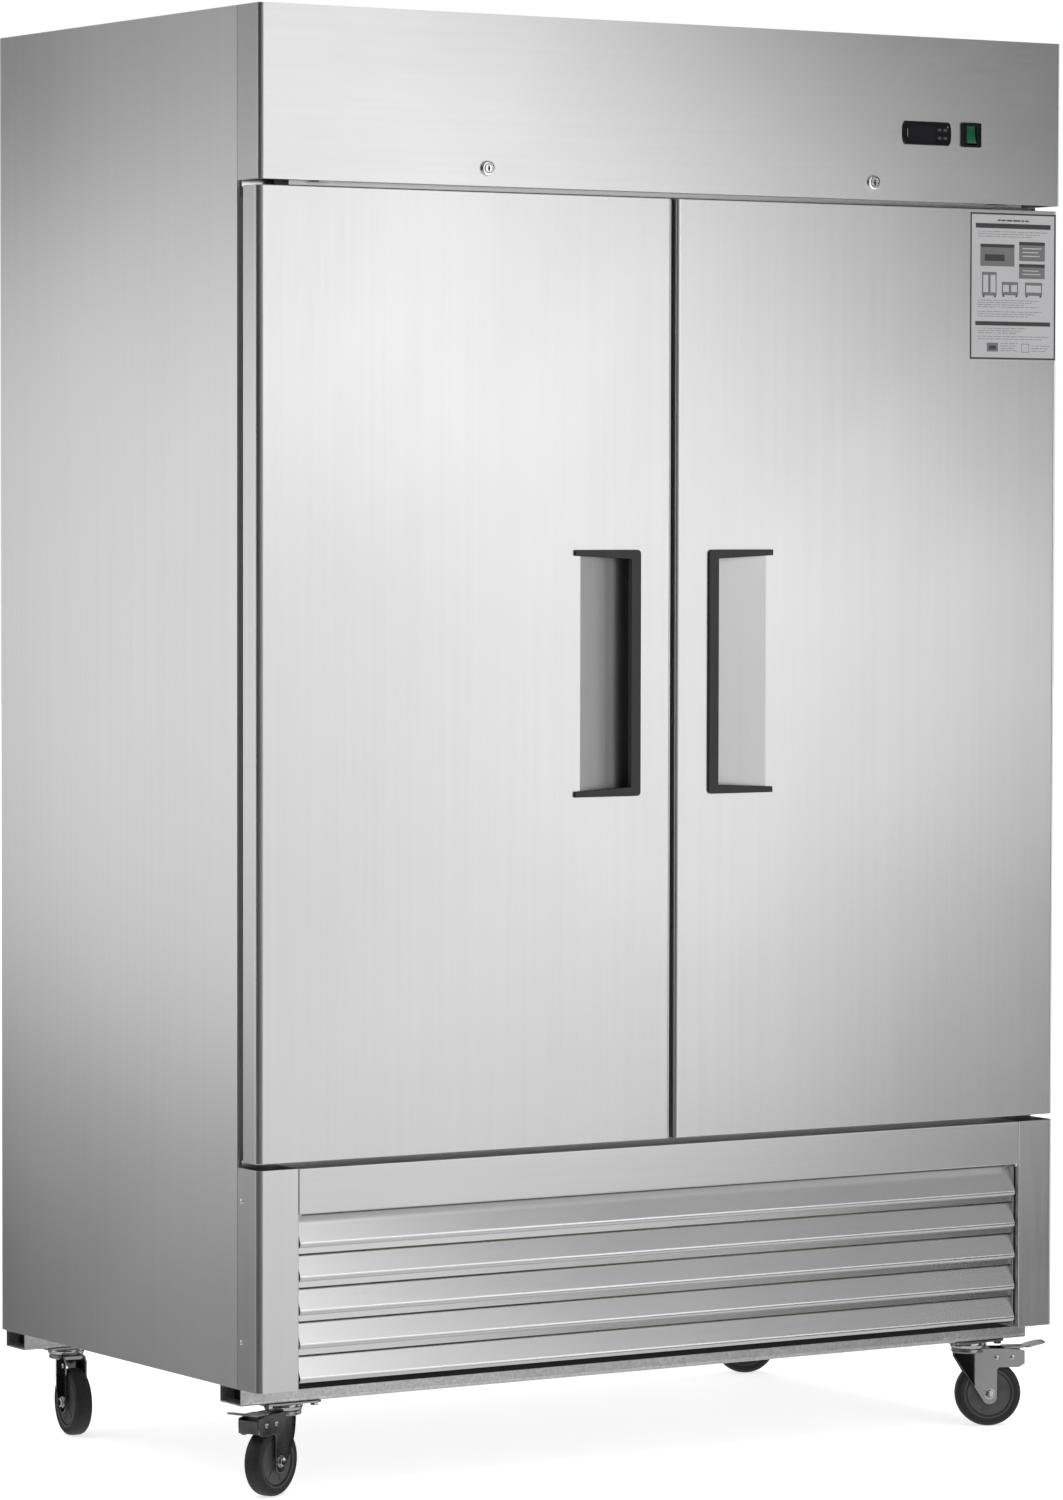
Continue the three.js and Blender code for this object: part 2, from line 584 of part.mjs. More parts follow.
function door(lockX) {
  const lockSlot = box(lockX - 38, lockX + 12, CAM_Y - 6, CAM_Y + 9, DOOR_TOP - 15, DOOR_TOP + 5);
  const pinHole = (grow) => [
    rodZ(PIN_RADIUS + grow, DOOR_PIN_X, DOOR_PIN_Y, DOOR_BOTTOM - 5, DOOR_BOTTOM + PIN_REACH + 4, 16),
    rodZ(PIN_RADIUS + grow, DOOR_PIN_X, DOOR_PIN_Y, DOOR_TOP - PIN_REACH - 4, DOOR_TOP + 5, 16),
  ];
  const skin = cut(
    join(
      pan([DOOR_MEETING_X, HALF_WIDTH], DOOR_FRONT, DOOR_BACK, [DOOR_BOTTOM, DOOR_TOP], DOOR_FOLD),
      pocketPrism(SHEET, DOOR_FRONT + 0.6),
    ),
    pocketPrism(0, DOOR_FRONT - 1),
    lockSlot,
    ...pinHole(1.5),
  );
  const inset = SHEET + GAP;
  const corePan = wrap(DOOR_MEETING_X + inset, HALF_WIDTH - inset, DOOR_FRONT + inset, DOOR_BACK - GAP);
  const ring = {
    x: [DOOR_MEETING_X + GASKET_INSET, GASKET_HINGE_X],
    z: [DOOR_BOTTOM + GASKET_INSET, DOOR_TOP - GASKET_INSET],
  };
  const raised = GASKET_WIDTH + 4.5;
  const core = cut(
    join(
      extrudeZ(roundedSolid(corePan, DOOR_FOLD - 1), DOOR_BOTTOM + inset, DOOR_TOP - inset),
      box(
        ring.x[0] + raised, ring.x[1] - raised,
        DOOR_BACK - 1, DOOR_BACK + 8,
        ring.z[0] + raised, ring.z[1] - raised,
      ),
    ),
    pocketPrism(SHEET + GAP, DOOR_FRONT - 1),
    box(lockX - 38.5, lockX + 12.5, CAM_Y - 6.5, CAM_Y + 9.5, DOOR_TOP - 15.5, DOOR_TOP + 5),
    ...pinHole(1.5),
  );
  const gasketOutline = rectangle(...ring.x, ...ring.z);
  gasketOutline.holes.push(
    rectangle(
      ring.x[0] + GASKET_WIDTH, ring.x[1] - GASKET_WIDTH,
      ring.z[0] + GASKET_WIDTH, ring.z[1] - GASKET_WIDTH,
    ),
  );
  const gasket = extrudeY(gasketOutline, DOOR_BACK + GAP, FACE_Y - 0.5);
  return { skin, core, gasket };
}

// The grip: a bar over the pocket's deep end, with an arm along the top and the bottom of the pocket.
const armTip = 8.4;
const armRoot = 13;
const gripOutline = new THREE.Shape();
gripOutline.moveTo(GRIP_X[1], GRIP_Z[0]);
gripOutline.lineTo(GRIP_X[1], GRIP_Z[0] + armTip);
gripOutline.lineTo(GRIP_X[0] + GRIP_BAR, GRIP_Z[0] + armRoot);
gripOutline.lineTo(GRIP_X[0] + GRIP_BAR, GRIP_Z[1] - armRoot);
gripOutline.lineTo(GRIP_X[1], GRIP_Z[1] - armTip);
gripOutline.lineTo(GRIP_X[1], GRIP_Z[1]);
gripOutline.lineTo(GRIP_X[0] + 8, GRIP_Z[1]);
gripOutline.quadraticCurveTo(GRIP_X[0], GRIP_Z[1], GRIP_X[0], GRIP_Z[1] - 8);
gripOutline.lineTo(GRIP_X[0], GRIP_Z[0] + 8);
gripOutline.quadraticCurveTo(GRIP_X[0], GRIP_Z[0], GRIP_X[0] + 8, GRIP_Z[0]);
const grip = join(
  extrudeY(gripOutline, GRIP_FRONT, DOOR_FRONT - GAP),
  box(
    POCKET_DEEP_X + 0.6, GRIP_X[0] + GRIP_BAR,
    DOOR_FRONT - 1, DOOR_FRONT + 6,
    POCKET_Z[0] + 0.6, POCKET_Z[1] - 0.6,
  ),
);

for (const side of ["left", "right"]) {
  const pieces = door(LOCK_X[side]);
  const place = side === "left" ? mirrorX : (geometry) => geometry;
  add(`${side}_door_skin`, place(pieces.skin), STAINLESS);
  add(`${side}_door_core`, place(pieces.core), LINER_STEEL);
  add(`${side}_door_gasket`, place(pieces.gasket), GASKET_RUBBER);
  add(`${side}_door_grip`, place(grip), BLACK_PLASTIC);
}

// ---------------------------------------------------------------- shelves
// A flat grid: a rim with wires running front to back, cut from a plate by the slots between them.
const SHELF_WIRE_WIDTH = 7;
function shelf(z) {
  const pitch = (SHELF_X[1] - SHELF_X[0] - SHELF_WIRE_WIDTH) / SHELF_SLOTS;
  const slots = [];
  for (let i = 0; i < SHELF_SLOTS; i++) {
    const x = SHELF_X[0] + SHELF_WIRE_WIDTH + i * pitch;
    slots.push(
      box(
        x, x + pitch - SHELF_WIRE_WIDTH,
        SHELF_Y[0] + SHELF_WIRE_WIDTH, SHELF_Y[1] - SHELF_WIRE_WIDTH,
        z - 1, z + SHELF_THICKNESS + 1,
      ),
    );
  }
  return cut(box(...SHELF_X, ...SHELF_Y, z, z + SHELF_THICKNESS), ...slots);
}
SHELF_LEVELS.forEach((z, level) => addPair(`shelf_${level + 1}`, shelf(z), SHELF_WIRE));

// ---------------------------------------------------------------- refrigeration
add("machine_base", box(-INNER_HALF, INNER_HALF, FOAM_FRONT, BACK - 2, BASE_Z, BASE_Z + 2), GALVANISED);

const FLOOR_TOP = BASE_Z + 2 + GAP; // what stands on the machine base starts here
const COMPRESSOR = { x: 330, y: 150, z: FLOOR_TOP };
const dome = [[0, 1], [70, 1], [80, 14], [80, 112], [70, 150], [45, 176], [0, 186]];
const shell = new THREE.LatheGeometry(dome.map(([r, z]) => new THREE.Vector2(r, z)), 20);
shell.rotateX(Math.PI / 2).translate(COMPRESSOR.x, COMPRESSOR.y, COMPRESSOR.z);
add(
  "compressor",
  join(
    shell,
    box(
      COMPRESSOR.x - 105, COMPRESSOR.x + 105,
      COMPRESSOR.y - 75, COMPRESSOR.y + 75,
      COMPRESSOR.z, COMPRESSOR.z + 3,
    ),
  ),
  BLACK_PAINT,
);

// The condenser: a block of fins, a shroud behind it, and the fan's motor on a cross of two straps.
const FAN = { x: -265, z: 297, radius: 108 };
const CONDENSER = { x: [-430, -100], y: [-255, -205], z: [FLOOR_TOP, 430], shroudBack: -165 };
const MOTOR = { radius: 44, length: 67 };
const strapY = [CONDENSER.shroudBack - 1, CONDENSER.shroudBack + 5];
const strapReach = FAN.radius + 16;
const STRAP_HALF = 9;
add(
  "condenser",
  join(
    box(...CONDENSER.x, ...CONDENSER.y, ...CONDENSER.z),
    cut(
      box(...CONDENSER.x, CONDENSER.y[1] - 1, CONDENSER.shroudBack, ...CONDENSER.z),
      rodY(FAN.radius + 6, FAN.x, CONDENSER.y[1] + 2, CONDENSER.shroudBack + 5, FAN.z, 24),
    ),
    rodY(MOTOR.radius, FAN.x, strapY[1] - 2, strapY[1] - 2 + MOTOR.length, FAN.z, 20),
    box(FAN.x - strapReach, FAN.x + strapReach, ...strapY, FAN.z - STRAP_HALF, FAN.z + STRAP_HALF),
    box(FAN.x - STRAP_HALF, FAN.x + STRAP_HALF, ...strapY, FAN.z - strapReach, FAN.z + strapReach),
  ),
  ALUMINIUM,
);

// A fan: a hub with blades set at an angle round it. Its axis lies along Y.
function fan(x, z, y0, y1, hubRadius, tipRadius, blades) {
  const middle = (y0 + y1) / 2;
  const pieces = [rodY(hubRadius, 0, y0 - middle, y1 - middle, 0, 24)];
  for (let i = 0; i < blades; i++) {
    const blade = box(-hubRadius * 0.8, hubRadius * 0.8, -1.2, 1.2, hubRadius * 0.7, tipRadius);
    blade.rotateZ(THREE.MathUtils.degToRad(28)).rotateY((2 * Math.PI * i) / blades);
    pieces.push(blade);
  }
  return join(...pieces).translate(x, middle, z);
}
add("condenser_fan", fan(FAN.x, FAN.z, -198, -172, 26, FAN.radius, 5), ALUMINIUM);

const EVAPORATOR = { x: 450, y: [-180, 240], z: EVAPORATOR_Z, fanZ: 1956, fanRadius: 60 };
const evaporatorSection = (inset) =>
  polygon([
    [EVAPORATOR.y[0] + inset, CEILING_Z - GAP + (inset ? 5 : 0)],
    [EVAPORATOR.y[0] + inset, EVAPORATOR.z + 40],
    [EVAPORATOR.y[0] + 40, EVAPORATOR.z + inset],
    [EVAPORATOR.y[1] - inset, EVAPORATOR.z + inset],
    [EVAPORATOR.y[1] - inset, CEILING_Z - GAP + (inset ? 5 : 0)],
  ]);
add(
  "evaporator_cover",
  cut(
    extrudeX(evaporatorSection(0), -EVAPORATOR.x, EVAPORATOR.x),
    extrudeX(evaporatorSection(SHEET), -EVAPORATOR.x + SHEET, EVAPORATOR.x - SHEET),
    rodY(EVAPORATOR.fanRadius + 5, 0, EVAPORATOR.y[0] - 5, EVAPORATOR.y[0] + 5, EVAPORATOR.fanZ, 24),
  ),
  LINER_STEEL,
);
add(
  "evaporator_fan",
  fan(0, EVAPORATOR.fanZ, EVAPORATOR.y[0] + 10, EVAPORATOR.y[0] + 32, 20, EVAPORATOR.fanRadius, 5),
  BLACK_PLASTIC,
);

// ---------------------------------------------------------------- cross bars and casters
const BAR_WALL = 2;
for (const [name, y] of [["front_cross_bar", FRONT_BAR_Y], ["rear_cross_bar", REAR_BAR_Y]]) {
  const section = rectangle(y - BAR_DEPTH / 2, y + BAR_DEPTH / 2, BASE_Z - BAR_HEIGHT, BASE_Z - GAP);
  section.holes.push(
    rectangle(
      y - BAR_DEPTH / 2 + BAR_WALL, y + BAR_DEPTH / 2 - BAR_WALL,
      BASE_Z - BAR_HEIGHT + BAR_WALL, BASE_Z - GAP - BAR_WALL,
    ),
  );
  add(name, extrudeX(section, -BAR_HALF, BAR_HALF), GALVANISED);
}

// Caster pieces are drawn round the swivel axis, with the wheel trailing along +X.
const PLATE_TOP = BASE_Z - BAR_HEIGHT - GAP;
const PLATE_THICKNESS = 3;
const CROWN_TOP = 119.2;
const LEG_TOP = 118;

function casterFork(brake) {
  const leg = new THREE.Shape();
  leg.moveTo(-23, LEG_TOP);
  leg.lineTo(-23, 104);
  leg.lineTo(TRAIL - 11, 40);
  leg.quadraticCurveTo(TRAIL - 5, 34, TRAIL, 34);
  leg.quadraticCurveTo(TRAIL + 12, 34, TRAIL + 12, 48);
  if (brake) {
    leg.lineTo(TRAIL + 12, 90);
    leg.lineTo(72, 90);
    leg.quadraticCurveTo(84, 92, 84, 104);
    leg.lineTo(84, LEG_TOP - 2);
    leg.lineTo(60, LEG_TOP);
  } else {
    leg.lineTo(TRAIL + 12, LEG_TOP - 8);
    leg.lineTo(TRAIL + 4, LEG_TOP);
  }
  const pieces = [
    rodZ(26, 0, 0, 112, CROWN_TOP, 24),
    box(-23, TRAIL + 4, -LEG_OUTER, LEG_OUTER, LEG_TOP - 5, LEG_TOP),
    extrudeY(leg, LEG_INNER, LEG_OUTER),
    extrudeY(leg, -LEG_OUTER, -LEG_INNER),
    rodY(4, TRAIL, -LEG_OUTER - 4, LEG_OUTER + 4, 50, 12),
    rodY(7, TRAIL, LEG_OUTER - 0.5, LEG_OUTER + 5, 50, 6),
    rodY(7, TRAIL, -LEG_OUTER - 5, -LEG_OUTER + 0.5, 50, 6),
  ];
  if (brake) {
    pieces.push(box(81.5, 84, -LEG_OUTER, LEG_OUTER, 94, 112));
    pieces.push(rodY(3, PEDAL_PIVOT.t, -LEG_OUTER - 1.5, LEG_OUTER + 1.5, PEDAL_PIVOT.z, 12));
    pieces.push(rodY(3, TRAIL + 11, -LEG_OUTER - 1.5, LEG_OUTER + 1.5, PEDAL_PIVOT.z, 12));
  }
  return join(...pieces);
}

function casterWheel() {
  const half = [[4.6, 13.5], [34, 11], [37, 13], [45, 13], [WHEEL_RADIUS, 8]];
  const profile = [...half.map(([r, y]) => [r, -y]), ...half.reverse(), [4.6, -WHEEL_HALF]];
  const wheel = new THREE.LatheGeometry(profile.map(([r, y]) => new THREE.Vector2(r, y)), 24);
  return wheel.translate(TRAIL, 0, WHEEL_RADIUS);
}

function brakePedal() {
  const side = polygon([
    [40, 118.5], [78, 118.5], [98, 123.5], [117, 125],
    [117, 127.5], [98, 126], [78, 121], [40, 121],
  ]);
  const plan = polygon([
    [40, -13.5], [86, -13.5], [90, -20], [108, -20], [117, -12],
    [117, 12], [108, 20], [90, 20], [86, 13.5], [40, 13.5],
  ]);
  const plate = common(extrudeY(side, -21, 21), extrudeZ(plan, 110, 130));
  const lug = box(PEDAL_PIVOT.t - 7, PEDAL_PIVOT.t + 7, -9, 9, PEDAL_PIVOT.z - 7, 120);
  return cut(join(plate, lug), rodY(3.5, PEDAL_PIVOT.t, -12, 12, PEDAL_PIVOT.z, 12));
}

for (const { name, x, y, turn, brake } of CASTERS) {
  const plate = join(
    box(-46, 46, -32, 32, PLATE_TOP - PLATE_THICKNESS, PLATE_TOP),
    rodZ(27, 0, 0, CROWN_TOP + GAP, PLATE_TOP - 1, 24),
  );
  add(`${name}_caster_plate`, plate, ZINC).position.set(x, y, 0);
  const swivel = [
    add(`${name}_caster_fork`, casterFork(brake), ZINC),
    add(`${name}_caster_wheel`, casterWheel(), TYRE_RUBBER),
  ];
  if (brake) swivel.push(add(`${name}_brake_pedal`, brakePedal(), ZINC));
  for (const piece of swivel) {
    piece.position.set(x, y, 0);
    piece.rotation.z = THREE.MathUtils.degToRad(turn);
  }
}

export default group;
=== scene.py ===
"""A two-door reach-in refrigerator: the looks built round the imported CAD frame, with camera and studio.

The object's lengths are millimetres in the frame's axes, and every mesh is scaled to metres as it is made.
The camera, the lights and the sizes of noise are in metres.
"""

import json
import math

import bmesh
import bpy
from mathutils import Matrix, Vector


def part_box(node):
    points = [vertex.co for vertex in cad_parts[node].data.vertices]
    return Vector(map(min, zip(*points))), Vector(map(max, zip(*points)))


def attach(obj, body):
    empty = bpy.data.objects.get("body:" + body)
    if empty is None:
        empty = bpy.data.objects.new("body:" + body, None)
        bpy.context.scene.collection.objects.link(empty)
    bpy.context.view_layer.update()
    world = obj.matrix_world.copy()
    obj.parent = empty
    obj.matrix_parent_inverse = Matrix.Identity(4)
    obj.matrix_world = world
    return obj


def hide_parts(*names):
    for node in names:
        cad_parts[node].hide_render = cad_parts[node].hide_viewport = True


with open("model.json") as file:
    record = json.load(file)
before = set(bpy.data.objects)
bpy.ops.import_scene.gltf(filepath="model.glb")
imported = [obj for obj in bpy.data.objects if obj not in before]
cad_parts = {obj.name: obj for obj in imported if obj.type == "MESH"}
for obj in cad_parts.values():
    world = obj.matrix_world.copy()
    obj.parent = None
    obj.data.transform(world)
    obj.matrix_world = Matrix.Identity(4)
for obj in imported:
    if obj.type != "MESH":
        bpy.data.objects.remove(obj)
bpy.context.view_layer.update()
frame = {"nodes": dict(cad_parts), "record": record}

MM = 0.001
SHEET = 1.2
SIDES = (("left", -1), ("right", 1))


def cad(node):
    """A CAD node's lowest and highest corners, in millimetres."""
    low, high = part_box(node)
    return low / MM, high / MM


def centre(node):
    low, high = cad(node)
    return (low + high) / 2


# ---------------------------------------------------------------- camera
CAMERA_PLACE = (-4.7957, -7.630, 1.3937)
CAMERA_AZIMUTH = math.radians(32.15)
CAMERA_PITCH = math.radians(2.33)
CAMERA_ROLL = math.radians(0.11)
CAMERA_LENS = 144.38


def make_camera():
    data = bpy.data.cameras.new("camera")
    data.lens = CAMERA_LENS
    data.sensor_width = 36
    data.clip_end = 100
    camera = bpy.data.objects.new("camera", data)
    forward = Vector((
        math.sin(CAMERA_AZIMUTH) * math.cos(CAMERA_PITCH),
        math.cos(CAMERA_AZIMUTH) * math.cos(CAMERA_PITCH),
        -math.sin(CAMERA_PITCH),
    ))
    level = Vector((math.cos(CAMERA_AZIMUTH), -math.sin(CAMERA_AZIMUTH), 0))
    upward = level.cross(forward)
    right = level * math.cos(CAMERA_ROLL) + upward * math.sin(CAMERA_ROLL)
    top = right.cross(forward)
    turn = Matrix((right, top, -forward)).transposed().to_4x4()
    camera.matrix_world = Matrix.Translation(CAMERA_PLACE) @ turn
    bpy.context.scene.collection.objects.link(camera)
    bpy.context.scene.camera = camera


make_camera()


# ---------------------------------------------------------------- materials
class Nodes:
    """A material's or a world's node tree, with short calls for the nodes used here."""

    def __init__(self, owner):
        owner.use_nodes = True
        self.tree = owner.node_tree
        self.tree.nodes.clear()

    def add(self, kind, values=(), **settings):
        node = self.tree.nodes.new(kind)
        for name, value in settings.items():
            setattr(node, name, value)
        for name, value in dict(values).items():
            if isinstance(value, bpy.types.NodeSocket):
                self.tree.links.new(value, node.inputs[name])
            else:
                node.inputs[name].default_value = value
        return node

    def place(self, scale):
        """Object coordinates stretched by scale, per metre."""
        coordinates = self.add("ShaderNodeTexCoord")
        values = {"Vector": coordinates.outputs["Object"], "Scale": scale}
        return self.add("ShaderNodeMapping", values).outputs["Vector"]

    def noise(self, scale, detail=2.0):
        values = {"Vector": self.place(scale), "Scale": 1.0, "Detail": detail}
        return self.add("ShaderNodeTexNoise", values).outputs["Fac"]

    def span(self, value, low, high, from_low=0.3, from_high=0.7):
        """A 0-to-1 value stretched to run from low to high."""
        values = {"Value": value, "From Min": from_low, "From Max": from_high, "To Min": low, "To Max": high}
        return self.add("ShaderNodeMapRange", values).outputs["Result"]

    def tint(self, colour, value):
        """A colour multiplied by a value."""
        scaled = self.add("ShaderNodeVectorMath", {"Scale": value}, operation="SCALE")
        scaled.inputs[0].default_value = colour[:3]
        return scaled.outputs["Vector"]

    def bump(self, height, strength, distance):
        values = {"Height": height, "Strength": strength, "Distance": distance}
        return self.add("ShaderNodeBump", values).outputs["Normal"]

    def surface(self, values):
        shader = self.add("ShaderNodeBsdfPrincipled", values)
        self.add("ShaderNodeOutputMaterial", {"Surface": shader.outputs["BSDF"]})


def grey(level, blue=0.0):
    return (level, level, level + blue, 1)


def stretched(across, lengthwise, along):
    """Noise scales for marks that are drawn out along one axis."""
    return [lengthwise if axis == along else across for axis in "xyz"]


def brushed(name, level, roughness, along, depth=0.15, grain=0.03):
    """Steel with fine scratches that run along one axis, and slow changes over a hand's width."""
    material = bpy.data.materials.new(name)
    nodes = Nodes(material)
    scratches = nodes.noise(stretched(1400.0, 12.0, along), 3)
    bands = nodes.noise(stretched(110.0, 1.2, along), 2)
    clouds = nodes.noise((3, 3, 3), 2)
    shade = nodes.add("ShaderNodeMath", operation="ADD")
    nodes.tree.links.new(nodes.span(scratches, -0.015, 0.015), shade.inputs[0])
    nodes.tree.links.new(nodes.span(bands, 0.985, 1.01), shade.inputs[1])
    rough = nodes.add("ShaderNodeMath", operation="ADD")
    nodes.tree.links.new(nodes.span(scratches, roughness - grain, roughness + grain), rough.inputs[0])
    nodes.tree.links.new(nodes.span(clouds, -0.015, 0.015), rough.inputs[1])
    nodes.surface({
        "Base Color": nodes.tint(grey(level), shade.outputs["Value"]),
        "Metallic": 1.0,
        "Roughness": rough.outputs["Value"],
        "Normal": nodes.bump(scratches, depth, 0.00005),
    })
    return material


def galvanised(name, level, roughness, cell=0.012):
    """Zinc-coated steel: flat crystals, each a little lighter or darker than the next."""
    material = bpy.data.materials.new(name)
    nodes = Nodes(material)
    crystals = nodes.add("ShaderNodeTexVoronoi", {"Vector": nodes.place((1, 1, 1)), "Scale": 1 / cell})
    split = nodes.add("ShaderNodeSeparateColor", {"Color": crystals.outputs["Color"]})
    stain = nodes.noise((9, 9, 9), 4)
    shade = nodes.add("ShaderNodeMath", operation="MULTIPLY")
    nodes.tree.links.new(nodes.span(split.outputs["Red"], 0.86, 1.06, 0, 1), shade.inputs[0])
    nodes.tree.links.new(nodes.span(stain, 0.93, 1.04), shade.inputs[1])
    nodes.surface({
        "Base Color": nodes.tint(grey(level, 0.01), shade.outputs["Value"]),
        "Metallic": 1.0,
        "Roughness": nodes.span(split.outputs["Green"], roughness - 0.07, roughness + 0.07, 0, 1),
        "Normal": nodes.bump(nodes.noise((700, 700, 700), 3), 0.08, 0.0002),
    })
    return material


def moulded(name, colour, roughness, metallic=0.0, grain=1200.0, depth=0.12, wear=0.08, extra=()):
    """A moulded, painted or plated surface: a fine grain, with slow changes in colour and gloss."""
    material = bpy.data.materials.new(name)
    nodes = Nodes(material)
    pores = nodes.noise((grain, grain, grain), 2)
    clouds = nodes.noise((22, 22, 22), 4)
    nodes.surface({
        "Base Color": nodes.tint(colour, nodes.span(clouds, 1 - wear, 1 + wear)),
        "Metallic": metallic,
        "Roughness": nodes.span(clouds, roughness - 0.04, roughness + 0.05),
        "Normal": nodes.bump(pores, depth, 0.0002),
        **dict(extra),
    })
    return material


def treaded(name, level, roughness, lines=72):
    """Tyre rubber: short cross lines in the tread, set out round the tyre's own Z axis. The lines are bumped,
    and painted darker as painted shade in the grooves.
    """
    material = bpy.data.materials.new(name)
    nodes = Nodes(material)
    coordinates = nodes.add("ShaderNodeTexCoord").outputs["Object"]
    split = nodes.add("ShaderNodeSeparateXYZ", {"Vector": coordinates})
    turn = nodes.add("ShaderNodeMath", operation="ARCTAN2")
    nodes.tree.links.new(split.outputs["Y"], turn.inputs[0])
    nodes.tree.links.new(split.outputs["X"], turn.inputs[1])
    waves = nodes.add("ShaderNodeMath", operation="MULTIPLY")
    nodes.tree.links.new(turn.outputs["Value"], waves.inputs[0])
    waves.inputs[1].default_value = lines
    wave = nodes.add("ShaderNodeMath", operation="SINE")
    nodes.tree.links.new(waves.outputs["Value"], wave.inputs[0])
    cuts = nodes.span(wave.outputs["Value"], 0.0, 1.0, -0.75, -0.35)
    uneven = nodes.noise((160, 160, 160), 3)
    broken = nodes.add("ShaderNodeMath", operation="MAXIMUM")
    nodes.tree.links.new(cuts, broken.inputs[0])
    nodes.tree.links.new(nodes.span(uneven, 0.0, 1.0, 0.42, 0.5), broken.inputs[1])
    nodes.surface({
        # Painted shade: the colour is darker in the tread lines.
        "Base Color": nodes.tint(grey(level), nodes.span(broken.outputs["Value"], 0.4, 1.1, 0, 1)),
        "Roughness": nodes.span(uneven, roughness - 0.05, roughness + 0.08),
        "Normal": nodes.bump(broken.outputs["Value"], 0.8, 0.0008),
    })
    return material


STEEL = 0.80
M = {
    "panel": brushed("stainless_panel", STEEL, 0.34, "z"),
    "header": brushed("stainless_header", STEEL, 0.34, "x"),
    "slat": brushed("stainless_slat", STEEL, 0.34, "x"),
    "louvre": brushed("stainless_louvre", STEEL, 0.25, "x", 0.0, 0.01),
    "lip": brushed("stainless_lip", 0.40, 0.26, "x", 0.02),
    "pan": brushed("stainless_pocket", 0.68, 0.38, "z"),
    "inner": brushed("stainless_inner", 0.78, 0.36, "x"),
    "liner": brushed("liner_steel", 0.80, 0.38, "z"),
    "galvanised": galvanised("galvanised_steel", 0.72, 0.42),
    "bar": galvanised("galvanised_bar", 0.84, 0.42, 0.0035),
    "fork": moulded("pressed_fork", grey(0.33, 0.005), 0.16, 1.0, 500, 0.01, 0.05),
    "zinc": moulded("zinc_plate", grey(0.50, 0.01), 0.30, 1.0, 500, 0.06, 0.12),
    "race": moulded("race_steel", grey(0.62), 0.18, 1.0, 300, 0.04, 0.08),
    "foam": moulded("rigid_foam", (0.80, 0.70, 0.42, 1), 0.9, 0.0, 500, 0.6, 0.1),
    "plastic": moulded("black_plastic", grey(0.013, 0.001), 0.42, 0.0, 1800, 0.25),
    "gloss": moulded("gloss_black", grey(0.008, 0.001), 0.10, 0.0, 200, 0.0, 0.04),
    "window": moulded("display_window", grey(0.012, 0.004), 0.05, 0.0, 200, 0.0, 0.04),
    "mark": moulded("printed_mark", grey(0.035, 0.004), 0.5, 0.0, 900, 0.05),
    "led": moulded("indicator_lens", grey(0.16), 0.3, 0.0, 900, 0.0),
    "lens": moulded("green_lens", (0.006, 0.10, 0.036, 1), 0.22, 0.0, 600, 0.05, 0.05,
                    {"Transmission Weight": 0.25, "Coat Weight": 0.6}),
    "gasket": moulded("gasket_vinyl", grey(0.10), 0.6, 0.0, 900, 0.2),
    "tyre": treaded("tyre_rubber", 0.011, 0.5),
    "hub": moulded("wheel_hub", grey(0.055, 0.001), 0.42, 0.0, 900, 0.3, 0.2),
    "chrome": moulded("chrome", grey(0.88), 0.24, 1.0, 300, 0.01, 0.03),
    "paint": moulded("black_paint", grey(0.025, 0.002), 0.32, 0.0, 500, 0.1),
    # A near-black used as painted shade: pieces set where there would only be shadow, in the keyholes, inside
    # the cross bars' ends, under the grille and behind the pilaster slots.
    "dark": moulded("painted_shade_black", grey(0.006), 0.8, 0.0, 500, 0.1),
    "aluminium": moulded("bare_aluminium", grey(0.70, 0.005), 0.38, 1.0, 900, 0.1),
    "copper": moulded("copper_tube", (0.72, 0.33, 0.19, 1), 0.28, 1.0, 500, 0.06, 0.15),
    "epoxy": moulded("shelf_epoxy", grey(0.78), 0.35, 0.0, 700, 0.1, 0.03, {"Coat Weight": 0.3}),
    "paper": moulded("label_paper", grey(0.36, 0.012), 0.55, 0.0, 900, 0.05, 0.02),
    "ink": moulded("label_ink", grey(0.03), 0.5, 0.0, 900, 0.05),
    "ink_grey": moulded("label_grey", grey(0.12), 0.5, 0.0, 900, 0.05),
    "lamp": moulded("lamp_cover", grey(0.85), 0.3, 0.0, 600, 0.05, 0.02),
}
SLOTS = {  # the looks in each of the record's material slots; CAD nodes that stay get the first one
    "stainless": ("panel", "header", "slat", "louvre", "lip", "pan", "inner"),
    "liner_steel": ("liner",),
    "galvanised": ("galvanised", "bar"),
    "zinc": ("zinc", "fork", "race"),
    "foam": ("foam",),
    "black_plastic": ("plastic", "hub", "dark"),
    "gloss_black": ("gloss", "window", "mark", "led"),
    "green_lens": ("lens",),
    "gasket_rubber": ("gasket",),
    "tyre_rubber": ("tyre",),
    "chrome": ("chrome",),
    "black_paint": ("paint",),
    "aluminium": ("aluminium", "copper"),
    "shelf_wire": ("epoxy", "lamp"),
}


# ---------------------------------------------------------------- mesh code
PLANES = {
    "xy": lambda a, b, c: (a, b, c),
    "xz": lambda a, b, c: (a, c, b),
    "yz": lambda a, b, c: (c, a, b),
}


def prism(bm, outline, plane, low, high):
    """Adds an outline extruded from low to high along the axis that its plane leaves out."""
    at = PLANES[plane]
    rings = [[bm.verts.new(at(a, b, c)) for a, b in outline] for c in (low, high)]
    bm.faces.new(rings[0])
    bm.faces.new(reversed(rings[1]))
    count = len(outline)
    for i in range(count):
        j = (i + 1) % count
        bm.faces.new((rings[0][i], rings[0][j], rings[1][j], rings[1][i]))


def arc(radius, angles):
    """Points at a radius from the origin, at the given angles."""
    return [(radius * math.cos(angle), radius * math.sin(angle)) for angle in angles]


def circle(radius, count):
    return arc(radius, [2 * math.pi * i / count for i in range(count)])


